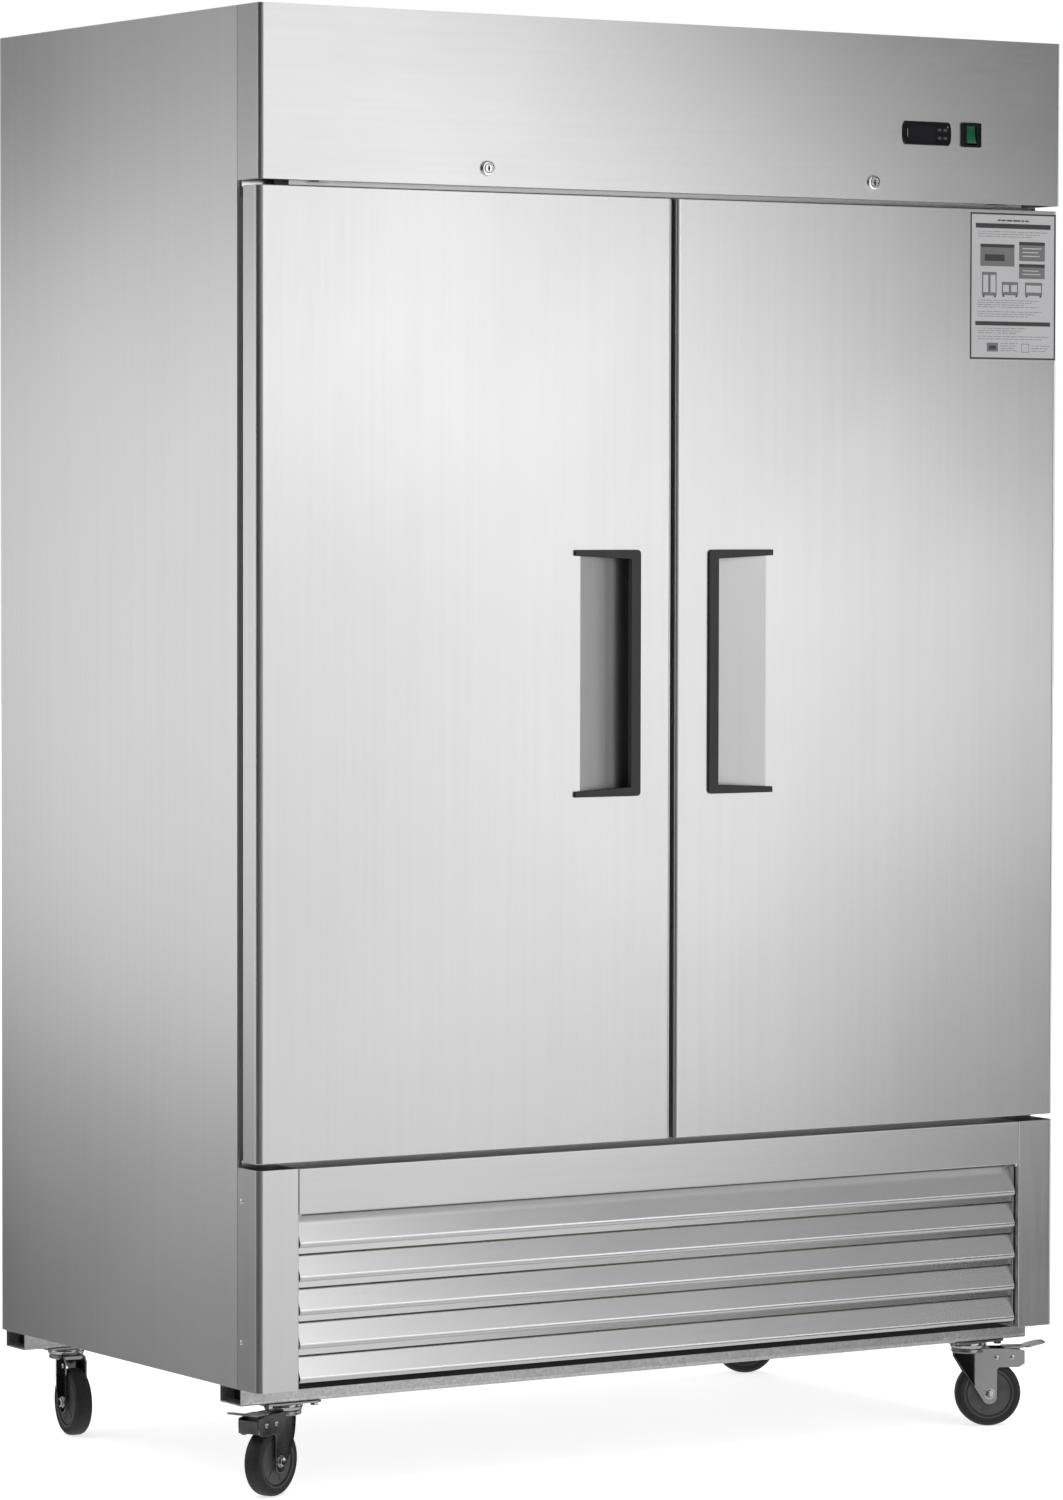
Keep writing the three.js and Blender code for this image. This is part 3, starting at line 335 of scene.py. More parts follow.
def lathe(bm, profile, segments=48, place=Matrix.Identity(4), closed=False):
    """Adds a profile of (radius, height) turned about Z. A radius of 0 closes to a point on the axis."""
    rings = []
    for radius, height in profile:
        if radius < 1e-6:
            rings.append([bm.verts.new(place @ Vector((0, 0, height)))] * segments)
            continue
        rings.append([bm.verts.new(place @ Vector((a, b, height))) for a, b in circle(radius, segments)])
    pairs = list(zip(rings, rings[1:]))
    if closed:
        pairs.append((rings[-1], rings[0]))
    for lower, upper in pairs:
        for i in range(segments):
            j = (i + 1) % segments
            corners = []
            for vertex in (lower[i], lower[j], upper[j], upper[i]):
                if vertex not in corners:
                    corners.append(vertex)
            if len(corners) > 2:
                bm.faces.new(corners)


def rod(bm, radius, low, high, segments, place=Matrix.Identity(4)):
    """Adds a plain cylinder."""
    lathe(bm, [(0, low), (radius, low), (radius, high), (0, high)], segments, place)


def sweep(bm, path, radius, segments=8, closed=False):
    """Adds a round rod of the given radius along a path of points."""
    points = [Vector(p) for p in path]
    count = len(points)
    rings = []
    side = None
    for i, point in enumerate(points):
        before = points[(i - 1) % count] if closed or i else point
        after = points[(i + 1) % count] if closed or i < count - 1 else point
        along = (after - before).normalized()
        if side is None:
            side = along.orthogonal().normalized()
        side = (side - along * side.dot(along)).normalized()
        other = along.cross(side)
        rings.append([bm.verts.new(point + (side * a + other * b) * radius) for a, b in circle(1, segments)])
    pairs = list(zip(rings, rings[1:]))
    if closed:
        pairs.append((rings[-1], rings[0]))
    else:
        bm.faces.new(reversed(rings[0]))
        bm.faces.new(rings[-1])
    for lower, upper in pairs:
        for k in range(segments):
            j = (k + 1) % segments
            bm.faces.new((lower[k], lower[j], upper[j], upper[k]))


def rectangle(a0, a1, b0, b1):
    return [(a0, b0), (a1, b0), (a1, b1), (a0, b1)]


def one_each(radius, points):
    """A list of radii, from one number for all the points or a list that is one already."""
    return radius if isinstance(radius, (list, tuple)) else [radius] * len(points)


def rounded(points, radius, steps=6, ends=True):
    """The points with each corner turned into an arc. Without ends, the first and last points stay sharp."""
    corners = [Vector(p) for p in points]
    count = len(corners)
    outline = []
    for i, (corner, radius) in enumerate(zip(corners, one_each(radius, points))):
        if not ends and i in (0, count - 1):
            outline.append(tuple(corner))
            continue
        before = (corners[i - 1] - corner).normalized()
        after = (corners[(i + 1) % count] - corner).normalized()
        half = before.angle(after) / 2
        reach = radius / math.tan(half)
        centre = corner + (before + after).normalized() * (radius / math.sin(half))
        start = corner + before * reach - centre
        sweep_angle = math.pi - 2 * half
        turn = start.angle_signed(corner + after * reach - centre)
        for k in range(steps + 1):
            angle = -math.copysign(sweep_angle, turn) * k / steps
            spoke = Matrix.Rotation(angle, 2) @ start
            outline.append(tuple(centre + spoke))
    return outline


CRISP = 35  # edges that turn by more than this many degrees stay sharp and are bevelled
CARVED_CRISP = 16


def shape(name, build, material, place=Matrix.Identity(4), bevel=0.4, crisp=CRISP):
    """An object from a function that fills a bmesh. place and bevel are in millimetres too."""
    bm = bmesh.new()
    build(bm)
    bmesh.ops.recalc_face_normals(bm, faces=bm.faces)
    mesh = bpy.data.meshes.new(name)
    bm.to_mesh(mesh)
    bm.free()
    mesh.transform(Matrix.Scale(MM, 4))
    mesh.materials.append(material)
    mesh.shade_smooth()
    mesh.set_sharp_from_angle(angle=math.radians(crisp))
    obj = bpy.data.objects.new(name, mesh)
    bpy.context.scene.collection.objects.link(obj)
    matrix = place.copy()
    matrix.translation = matrix.translation * MM
    obj.matrix_world = matrix
    if bevel:
        add_bevel(obj, bevel, crisp)
    weighted = obj.modifiers.new("normals", "WEIGHTED_NORMAL")
    weighted.keep_sharp = True
    return obj


def add_bevel(obj, width, crisp):
    rounding = obj.modifiers.new("edges", "BEVEL")
    rounding.width = width * MM
    rounding.segments = 2
    rounding.limit_method = "ANGLE"
    rounding.angle_limit = math.radians(crisp)


def carve(obj, tools):
    """Cuts other objects out of one, and removes them."""
    for tool in tools:
        step = obj.modifiers.new("carve", "BOOLEAN")
        step.operation = "DIFFERENCE"
        step.solver = "EXACT"
        step.object = tool
        bpy.context.view_layer.objects.active = obj
        obj.modifiers.move(len(obj.modifiers) - 1, 0)
        with bpy.context.temp_override(object=obj, active_object=obj):
            bpy.ops.object.modifier_apply(modifier=step.name)
        bpy.data.objects.remove(tool)
    obj.data.shade_smooth()
    obj.data.set_sharp_from_angle(angle=math.radians(CARVED_CRISP))


def make(name, build, look, body="cabinet", replaces=(), slot=None, cuts=(), **finish):
    """A piece on a body, less what the cuts' functions draw. Its slot argument is not used."""
    obj = shape(name, build, M[look], **finish)
    if cuts:
        carve(obj, [shape("tool", cut, M["dark"], bevel=0) for cut in cuts])
    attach(obj, body)
    if replaces:
        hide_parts(*replaces)
    return obj


def extruded(outline, plane, low, high):
    """A build function for one prism."""
    return lambda bm: prism(bm, outline, plane, low, high)


def turned(profile, segments, place=Matrix.Identity(4), closed=False):
    """A build function for one lathed piece."""
    return lambda bm: lathe(bm, profile, segments, place, closed)


def flipped(outline, sign):
    """An outline drawn for the right-hand side, or its mirror image on the left."""
    return [(sign * a, b) for a, b in outline]


def offset(points, distance):
    """An open run of points moved sideways, towards its left, with its corners kept square."""
    run = [Vector(p) for p in points]
    ways = [(b - a).normalized() for a, b in zip(run, run[1:])]
    lefts = [Vector((-w.y, w.x)) for w in ways]
    moved = []
    for i, point in enumerate(run):
        middle = lefts[max(i - 1, 0)] + lefts[min(i, len(lefts) - 1)]
        moved.append(tuple(point + middle * (2 * distance / middle.length_squared)))
    return moved


def folded(points, radius, thickness=SHEET, steps=8):
    """The section of a folded sheet. Its outer side runs through the points; the sheet is on their left."""
    radii = one_each(radius, points)
    outer = rounded(points, radii, steps, ends=False)
    inner = rounded(offset(points, thickness), [max(r - thickness, 0.4) for r in radii], steps, ends=False)
    return outer + inner[::-1]


def wrap(x0, x1, y_front, y_back):
    return [(x0, y_back), (x0, y_front), (x1, y_front), (x1, y_back)]


def block(bm, x0, x1, y0, y1, z0, z1):
    prism(bm, rectangle(x0, x1, y0, y1), "xy", z0, z1)


def slab(bm, sides, corner, steps, plane, low, high):
    """Adds a rectangle with rounded corners, extruded. sides are its limits: a from and to, b from and to."""
    prism(bm, rounded(rectangle(*sides), corner, steps), plane, low, high)


FACING = {
    "front": Matrix.Rotation(math.radians(90), 4, "X"),
    "back": Matrix.Rotation(math.radians(-90), 4, "X"),
    "left": Matrix.Rotation(math.radians(-90), 4, "Y"),
    "right": Matrix.Rotation(math.radians(90), 4, "Y"),
    "down": Matrix.Rotation(math.radians(180), 4, "X"),
}


def aim(way, x, y, z):
    """The place of a lathe that stands at a point and faces a way."""
    return Matrix.Translation((x, y, z)) @ FACING[way]


def screws(name, spots, way, radius=3.6, height=2.2, look="chrome"):
    """Pan heads with a round recess, all facing one way."""
    profile = [(0, 0), (radius, 0), (radius, 0.35 * height), (0.85 * radius, 0.75 * height),
               (0.45 * radius, height), (0.36 * radius, height), (0.2 * radius, height - 0.45 * height),
               (0, height - 0.45 * height)]

    def build(bm):
        for spot in spots:
            lathe(bm, profile, 20, aim(way, *spot))

    make(name, build, look, bevel=0)


# ---------------------------------------------------------------- floor, world and lights
FRONT_WALL_Y = -2.9
LEFT_WALL_X = -2.7
FRONT_BOXES = (  # x from and to, z from and to, radiance
    (-2.4, -0.4, 0.2, 2.6, 0.18),
    (-0.2, 0.6, -0.7, 3.0, 0.82),
    (0.6, 1.3, -0.7, 1.4, 0.86),
    (0.6, 1.3, 1.4, 3.0, 1.7),
    (1.3, 2.0, 0.0, 2.2, 1.35),
    (2.0, 2.7, 0.3, 0.8, 0.3),
    (2.0, 2.7, 0.8, 1.5, 1.5),
)
LEFT_BOXES = (  # y from and to, z from and to, radiance
    (0.3, 3.6, -0.7, 0.3, 0.24),
    (0.3, 3.6, 0.3, 2.0, 0.92),
    (0.3, 3.6, 2.0, 2.9, 0.30),
    (3.6, 12.0, -0.2, 0.3, 0.12),
    (3.6, 12.0, 0.3, 2.0, 0.68),
)


def make_stage():
    bm = bmesh.new()
    prism(bm, rectangle(-30000, 30000, -30000, 30000), "xy", -60, 0)
    mesh = bpy.data.meshes.new("floor")
    bm.to_mesh(mesh)
    bm.free()
    mesh.transform(Matrix.Scale(MM, 4))
    material = bpy.data.materials.new("studio_floor")
    nodes = Nodes(material)
    nodes.surface({
        "Base Color": grey(0.80),
        "Roughness": nodes.span(nodes.noise((6, 6, 6)), 0.75, 0.85),
        "Emission Color": grey(1.0),
        "Emission Strength": 0.68,
    })
    mesh.materials.append(material)
    floor = bpy.data.objects.new("floor", mesh)
    floor.visible_glossy = False
    floor.visible_shadow = False
    bpy.context.scene.collection.objects.link(floor)


def make_world():
    """White behind the object. The steel sees a dim band at eye level, and lighter above and below it."""
    world = bpy.data.worlds.new("studio")
    bpy.context.scene.world = world
    nodes = Nodes(world)
    seen = nodes.add("ShaderNodeLightPath").outputs["Is Camera Ray"]
    direction = nodes.add("ShaderNodeTexCoord").outputs["Generated"]
    height = nodes.add("ShaderNodeSeparateXYZ", {"Vector": direction}).outputs["Z"]
    level = nodes.add("ShaderNodeMath", operation="ADD")
    nodes.tree.links.new(nodes.span(height, 0.0, 0.6, -0.24, -0.44), level.inputs[0])
    nodes.tree.links.new(nodes.span(height, 0.0, 0.3, 0.28, 0.55), level.inputs[1])
    strength = nodes.add("ShaderNodeMix", {"Factor": seen}, data_type="FLOAT")
    nodes.tree.links.new(level.outputs["Value"], strength.inputs[2])
    strength.inputs[3].default_value = 1.0
    background = nodes.add("ShaderNodeBackground", {"Color": grey(1.0), "Strength": strength.outputs[0]})
    nodes.add("ShaderNodeOutputWorld", {"Surface": background.outputs["Background"]})


def soft_box(name, place, facing, size, radiance):
    """A rectangular light of even radiance that the camera doesn't see. facing is the way it shines."""
    data = bpy.data.lights.new(name, "AREA")
    data.shape = "RECTANGLE"
    data.size, data.size_y = size
    data.energy = radiance * math.pi * size[0] * size[1]
    light = bpy.data.objects.new(name, data)
    light.location = place
    light.rotation_euler = Vector(facing).to_track_quat("-Z", "Y").to_euler()
    light.visible_camera = False
    bpy.context.scene.collection.objects.link(light)


def light_walls():
    """Two walls of soft boxes, one in front and one on the left, and plain boxes on the right and behind."""
    for i, (x0, x1, z0, z1, radiance) in enumerate(FRONT_BOXES):
        place = ((x0 + x1) / 2, FRONT_WALL_Y, (z0 + z1) / 2)
        soft_box(f"front_box_{i}", place, (0, 1, 0), (x1 - x0, z1 - z0), radiance)
    for i, (y0, y1, z0, z1, radiance) in enumerate(LEFT_BOXES):
        place = (LEFT_WALL_X, (y0 + y1) / 2, (z0 + z1) / 2)
        soft_box(f"left_box_{i}", place, (1, 0, 0), (y1 - y0, z1 - z0), radiance)
    soft_box("front_right_box", (3.9, -1.45, 0.95), (-1, 0, 0), (1.7, 2.6), 0.75)
    soft_box("right_box", (8.0, 1.0, 1.0), (-1, 0, 0), (7.0, 4.0), 0.8)
    soft_box("rear_box", (2.5, 7.0, 1.0), (0, -1, 0), (6.5, 4.0), 0.9)
    soft_box("rear_high_box", (-3.0, 8.0, 6.0), (0.35, -1, -0.55), (9.0, 4.0), 0.8)


def floor_sun(strength):
    """Soft light from above for matt surfaces, which makes the floor pale. The steel shows just the boxes."""
    data = bpy.data.lights.new("floor_sun", "SUN")
    data.energy = strength
    data.angle = math.radians(70)
    light = bpy.data.objects.new("floor_sun", data)
    light.rotation_euler = (math.radians(12), math.radians(-10), 0)
    light.visible_glossy = False
    bpy.context.scene.collection.objects.link(light)


make_stage()
make_world()
light_walls()
floor_sun(2.0)
bpy.context.scene.view_settings.view_transform = "Standard"

# ---------------------------------------------------------------- CAD nodes that stay
KEPT_BEVEL = 0.5
KEPT_CRISP = 40
SMOOTH_UP_TO = 18
WELD_DISTANCE = 0.00002


def smooth_group():
    """A modifier that shades smooth across gentle angles and keeps sharp edges sharp."""
    group = bpy.data.node_groups.new("smooth_by_angle", "GeometryNodeTree")
    group.interface.new_socket("Geometry", in_out="INPUT", socket_type="NodeSocketGeometry")
    group.interface.new_socket("Geometry", in_out="OUTPUT", socket_type="NodeSocketGeometry")
    start = group.nodes.new("NodeGroupInput")
    end = group.nodes.new("NodeGroupOutput")
    faces = group.nodes.new("GeometryNodeSetShadeSmooth")
    edges = group.nodes.new("GeometryNodeSetShadeSmooth")
    edges.domain = "EDGE"
    edges.inputs["Shade Smooth"].default_value = False
    angle = group.nodes.new("GeometryNodeInputMeshEdgeAngle")
    wide = group.nodes.new("ShaderNodeMath")
    wide.operation = "GREATER_THAN"
    wide.inputs[1].default_value = math.radians(SMOOTH_UP_TO)
    link = group.links.new
    link(start.outputs[0], faces.inputs["Geometry"])
    link(faces.outputs[0], edges.inputs["Geometry"])
    link(angle.outputs["Unsigned Angle"], wide.inputs[0])
    link(wide.outputs[0], edges.inputs["Selection"])
    link(edges.outputs[0], end.inputs[0])
    return group


def dress_frame():
    group = smooth_group()
    first_looks = {slot: looks[0] for slot, looks in SLOTS.items()}
    first_looks["foamed_panel"] = "liner"
    looks = {part["node"]: first_looks[part["material_slot"]] for part in frame["record"]["subparts"]}
    looks["header_cover"] = "header"
    looks["louver_grille"] = "slat"
    looks["front_cross_bar"] = looks["rear_cross_bar"] = "bar"
    for node, obj in frame["nodes"].items():
        obj.data.materials.clear()
        obj.data.materials.append(M[looks[node]])
        weld = obj.modifiers.new("weld", "WELD")
        weld.merge_threshold = WELD_DISTANCE
        add_bevel(obj, KEPT_BEVEL, KEPT_CRISP)
        smooth = obj.modifiers.new("smooth", "NODES")
        smooth.node_group = group


dress_frame()

# ---------------------------------------------------------------- doors
DOOR_FOLD = 9.5
MEETING_FOLD = 6.0
POCKET = {"deep_x": 62, "bend_x": 70, "mouth_x": 161.6, "depth": 22, "z": (984, 1324)}
GRIP = {"x": (59, 171), "z": (976, 1330), "bar": 17, "tip": 8.4, "root": 13, "wall": 2.0, "corner": 5.5}
LINING = 0.4  # the sheet of the pocket's black cheeks and of its steel pan
PIN_HOLE = {"x": 674, "y": -364, "radius": 5.5, "depth": 21}
SEAL_WIDTH = 16


def width_range(node):
    """How far a node's inner and outer sides are from the middle of the cabinet."""
    low, high = cad(node)
    return sorted((abs(low.x), abs(high.x)))


def door_skin(side, sign):
    """The outer skin as if it hung on the right: x runs from the meeting edge to the hinge edge."""
    low, high = cad(f"{side}_door_skin")
    x0, x1 = width_range(f"{side}_door_skin")
    front, bottom, top = low.y, low.z, high.z
    folds = [0, MEETING_FOLD, DOOR_FOLD, 0]
    outline = rounded(wrap(x0, x1, front, high.y - 0.4), folds, 8, ends=False)
    deep = front + POCKET["depth"]
    slope = POCKET["depth"] / (POCKET["mouth_x"] - POCKET["bend_x"])
    mouth = [
        (POCKET["deep_x"], front - 1), (POCKET["mouth_x"] + 1 / slope, front - 1),
        (POCKET["bend_x"], deep), (POCKET["deep_x"], deep),
    ]
    lock_x = abs(centre(f"{side}_lock_barrel").x)
    cam = cad(f"{side}_lock_plug")[1].y

    def holes(bm):
        prism(bm, flipped(mouth, sign), "xy", *POCKET["z"])
        block(bm, sign * (lock_x - 38), sign * (lock_x + 12), cam - 9, cam + 6, top - 15, top + 5)
        pin = Matrix.Translation((sign * PIN_HOLE["x"], PIN_HOLE["y"], 0))
        for start, end in ((bottom - 5, bottom + PIN_HOLE["depth"]), (top - PIN_HOLE["depth"], top + 5)):
            rod(bm, PIN_HOLE["radius"], start, end, 24, pin)

    skin = make(f"{side}_door_panel", extruded(flipped(outline, sign), "xy", bottom, top), "panel",
                f"{side}_door", [f"{side}_door_skin"], cuts=[holes], bevel=1.1)
    skin.modifiers["edges"].angle_limit = math.radians(CARVED_CRISP)


def door_grip(side, sign):
    """A black frame over the pocket with a bar and tapered arms, the pocket's lining and its steel pan."""
    body = f"{side}_door"
    front = cad(f"{side}_door_grip")[0].y
    face = cad(f"{side}_door_skin")[0].y
    (x0, x1), (z0, z1) = GRIP["x"], GRIP["z"]
    inner = x0 + GRIP["bar"]
    bar = rounded([
        (x1, z0), (x1, z0 + GRIP["tip"]), (inner, z0 + GRIP["root"]), (inner, z1 - GRIP["root"]),
        (x1, z1 - GRIP["tip"]), (x1, z1), (x0, z1), (x0, z0),
    ], [0.8, 0.8, 1.5, 1.5, 0.8, 0.8, GRIP["corner"], GRIP["corner"]], 5)
    make(f"{side}_door_grip_frame", extruded(flipped(bar, sign), "xz", front, face - 0.3), "plastic",
         body, [f"{side}_door_grip"], bevel=1.4)

    deep = face + POCKET["depth"]
    low, high = POCKET["z"]
    edge, bend, mouth = POCKET["deep_x"] + 0.2, POCKET["bend_x"], POCKET["mouth_x"]
    wall = POCKET["deep_x"] + GRIP["wall"]
    floor = [(bend - 4, deep - 0.05), (bend, deep - 0.05),
             (mouth - 0.6, face + 0.1), (mouth - 2.2, face + 0.1),
             (bend, deep - 0.05 - LINING), (bend - 4, deep - 0.05 - LINING)]
    make(f"{side}_door_pocket_pan", extruded(flipped(floor, sign), "xy", low + 0.55, high - 0.55), "pan",
         body, bevel=0)
    deep_wall = [(edge, face - 0.5), (inner - 1, face - 0.5), (inner - 1, face + 5.5), (wall + 3, face + 7.5),
                 (wall, deep - 0.3), (edge, deep - 0.3)]
    cheek = [(edge, face - 0.5), (mouth - 2, face - 0.5), (bend - 0.6, deep - 0.3), (edge, deep - 0.3)]

    def lining(bm):
        prism(bm, flipped(deep_wall, sign), "xy", low + 0.7, high - 0.7)
        for z in (low + 0.1, high - 0.1 - LINING):
            prism(bm, flipped(cheek, sign), "xy", z, z + LINING)

    make(f"{side}_door_grip_lining", lining, "plastic", body, bevel=0.5)


def door_gasket(side):
    """A moulded seal: a base that clips to the door, a folded bellows and a flat magnet face."""
    low, high = cad(f"{side}_door_gasket")
    width, deep = SEAL_WIDTH, high.y - low.y
    section = [(0.10, 0), (0.90, 0), (0.90, 0.22), (0.78, 0.30), (0.78, 0.42), (0.97, 0.52), (1.0, 0.62),
               (1.0, 0.92), (0.95, 1.0), (0.05, 1.0), (0.0, 0.92), (0.0, 0.62), (0.03, 0.52), (0.22, 0.42),
               (0.22, 0.30), (0.10, 0.22)]
    corners = ((low.x, low.z, 1, 1), (high.x, low.z, -1, 1), (high.x, high.z, -1, -1), (low.x, high.z, 1, -1))

    def build(bm):
        rings = []
        for x, z, way_x, way_z in corners:
            points = [(x + way_x * a * width, low.y + b * deep, z + way_z * a * width) for a, b in section]
            rings.append([bm.verts.new(point) for point in points])
        count = len(section)
        for i in range(4):
            near, far = rings[i], rings[(i + 1) % 4]
            for k in range(count):
                j = (k + 1) % count
                bm.faces.new((near[k], near[j], far[j], far[k]))

    make(f"{side}_door_seal", build, "gasket", f"{side}_door", [f"{side}_door_gasket"], bevel=0.25)


for side, sign in SIDES:
    door_skin(side, sign)
    door_grip(side, sign)
    door_gasket(side)

# The instruction sheet on the right door: bars, lines and little pictures, with no lettering.
SHEET_X = (525.5, 685.0)
SHEET_Z = (1612, 1831)
SHEET_LAYERS = {"paper": 0.25, "ink_grey": 0.33, "ink": 0.40}  # how far each stands off the door


def instruction_sheet():
    face = cad("right_door_skin")[0].y
    x0, x1 = SHEET_X
    z0, z1 = SHEET_Z
    width, height = x1 - x0, z1 - z0
    layers = {"paper": [], "ink": [], "ink_grey": []}

    def bar(layer, u0, u1, v0, v1):
        """A bar across the sheet. u runs 0 to 1 from the left, and v runs 0 to 1 from the top."""
        layers[layer].append((x0 + u0 * width, x0 + u1 * width, z1 - v1 * height, z1 - v0 * height))

    def lines(u0, u1, v0, count, step, layer="ink_grey", thick=0.0034):
        """Rows of dashes that stand for printed text."""
        for row in range(count):
            at = u0
            k = 0
            end = u1 - 0.11 * ((row * 7) % 3) * (u1 - u0)
            while at < end:
                reach = min(at + 0.030 + 0.018 * ((k * 5 + row * 3) % 4), end)
                bar(layer, at, reach, v0 + row * step, v0 + row * step + thick)
                at = reach + 0.012
                k += 1

    def frame_lines(u0, u1, v0, v1, thick=0.008, layer="ink"):
        tall = thick * width / height
        bar(layer, u0, u1, v0, v0 + tall)
        bar(layer, u0, u1, v1 - tall, v1)
        bar(layer, u0, u0 + thick, v0 + tall, v1 - tall)
        bar(layer, u1 - thick, u1, v0 + tall, v1 - tall)

    layers["paper"].append((x0, x1, z0, z1))
    frame_lines(0.004, 0.996, 0.003, 0.997, 0.016)
    lines(0.32, 0.68, 0.048, 1, 0.02, "ink", 0.010)
    bar("ink", 0.065, 0.935, 0.075, 0.107)
    lines(0.09, 0.90, 0.128, 3, 0.017)
    boxes = ((0.12, 0.515, 0.215, 0.365), (0.57, 0.87, 0.195, 0.325), (0.57, 0.87, 0.345, 0.445))
    for u0, u1, v0, v1 in boxes:
        bar("ink_grey", u0, u1, v0 + 0.022, v1)
        bar("ink", u0, u1, v0, v0 + 0.022)
    bar("ink", 0.17, 0.40, 0.285, 0.330)
    for u1, v0, v1 in ((0.83, 0.236, 0.243), (0.79, 0.262, 0.269), (0.81, 0.288, 0.295),
                       (0.80, 0.388, 0.394), (0.82, 0.412, 0.418)):
        bar("paper", 0.61, u1, v0, v1)
    cabinets = ((0.14, 0.31, 0.405, 0.565, 2), (0.37, 0.56, 0.470, 0.560, 2), (0.64, 0.84, 0.470, 0.560, 1))
    for u0, u1, v0, v1, doors in cabinets:
        bar("ink_grey", u0, u1, v0, v1)
        step = (u1 - u0) / doors
        for i in range(doors):
            bar("paper", u0 + i * step + 0.014, u0 + (i + 1) * step - 0.014, v0 + 0.020, v1 - 0.022)
        bar("ink", u0 + 0.01, u0 + 0.03, v1, v1 + 0.012)
        bar("ink", u1 - 0.03, u1 - 0.01, v1, v1 + 0.012)
    lines(0.09, 0.80, 0.595, 4, 0.015)
    lines(0.09, 0.84, 0.672, 3, 0.016)
    bar("ink", 0.065, 0.935, 0.740, 0.768)
    lines(0.10, 0.66, 0.785, 3, 0.016)
    lines(0.10, 0.94, 0.840, 2, 0.018)
    bar("ink_grey", 0.20, 0.33, 0.885, 0.945)
    bar("ink", 0.225, 0.305, 0.905, 0.930)
    lines(0.36, 0.56, 0.888, 4, 0.016)
    frame_lines(0.60, 0.69, 0.888, 0.948, 0.006, "ink_grey")
    lines(0.72, 0.93, 0.900, 3, 0.018)
    for layer, bars in layers.items():
        def build(bm, bars=bars, layer=layer):
            for i, (a0, a1, b0, b1) in enumerate(bars):
                on_print = layer == "paper" and i > 0
                raised = 0.47 if on_print else SHEET_LAYERS[layer]
                start = 0.26 if on_print else 0.03
                block(bm, a0, a1, face - raised, face - start, b0, b1)

        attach(shape(f"instruction_sheet_{layer}", build, M[layer], bevel=0), "right_door")


instruction_sheet()


# ---------------------------------------------------------------- header, controls and locks
FOLD = 7
LOCK_HOLE = 9.5
LIP = {"half": 632, "back": 20, "above": 6, "below": 6.3, "tab": (572, 594)}
HEADER_FRONT = cad("header_cover")[0].y
CONTROLLER_BOW = 4.0
SWITCH_WELL = (9.3, 14.6)
ROCKER = {"half_width": 8.6, "half_height": 13.2, "face": 4.1, "dish": 1.9, "rest_tilt": -8}


def header():
    low, high = cad("header_cover")
    outline = rounded(wrap(low.x, high.x, low.y, high.y), FOLD, 10, ends=False)

    def inside(bm):
        block(bm, low.x + SHEET, high.x - SHEET, low.y + 3, high.y + 5, low.z + SHEET, high.z - SHEET)

    def underside(bm):
        block(bm, low.x + 4, high.x - 4, low.y + 20, high.y + 5, low.z - 5, low.z + 5)

    def openings(bm):
        for node in ("temperature_controller", "switch_housing"):
            corner, far = cad(node)
            block(bm, corner.x + 3, far.x - 3, low.y - 5, low.y + 5, corner.z + 3, far.z - 3)
        for side, _ in SIDES:
            at = centre(f"{side}_lock_barrel")
            rod(bm, LOCK_HOLE, -5, 5, 32, aim("front", at.x, low.y, at.z))

    make("header_panel", extruded(outline, "xy", low.z, high.z), "header", replaces=["header_cover"],
         cuts=[inside, underside, openings], bevel=1.0)


def header_lip():
    """The drip lip in the gap over the doors, and a small tab beside each upper hinge."""
    bottom = cad("header_cover")[0].z
    back = HEADER_FRONT + LIP["back"]

    def lip(bm):
        block(bm, -LIP["half"], LIP["half"], back, back + SHEET, bottom - LIP["below"], bottom + LIP["above"])
        for sign in (-1, 1):
            x0, x1 = LIP["tab"]
            block(bm, sign * x0, sign * x1, HEADER_FRONT + 2, back, bottom - 1.5, bottom - 0.2)

    make("header_drip_lip", lip, "lip", bevel=0.2)


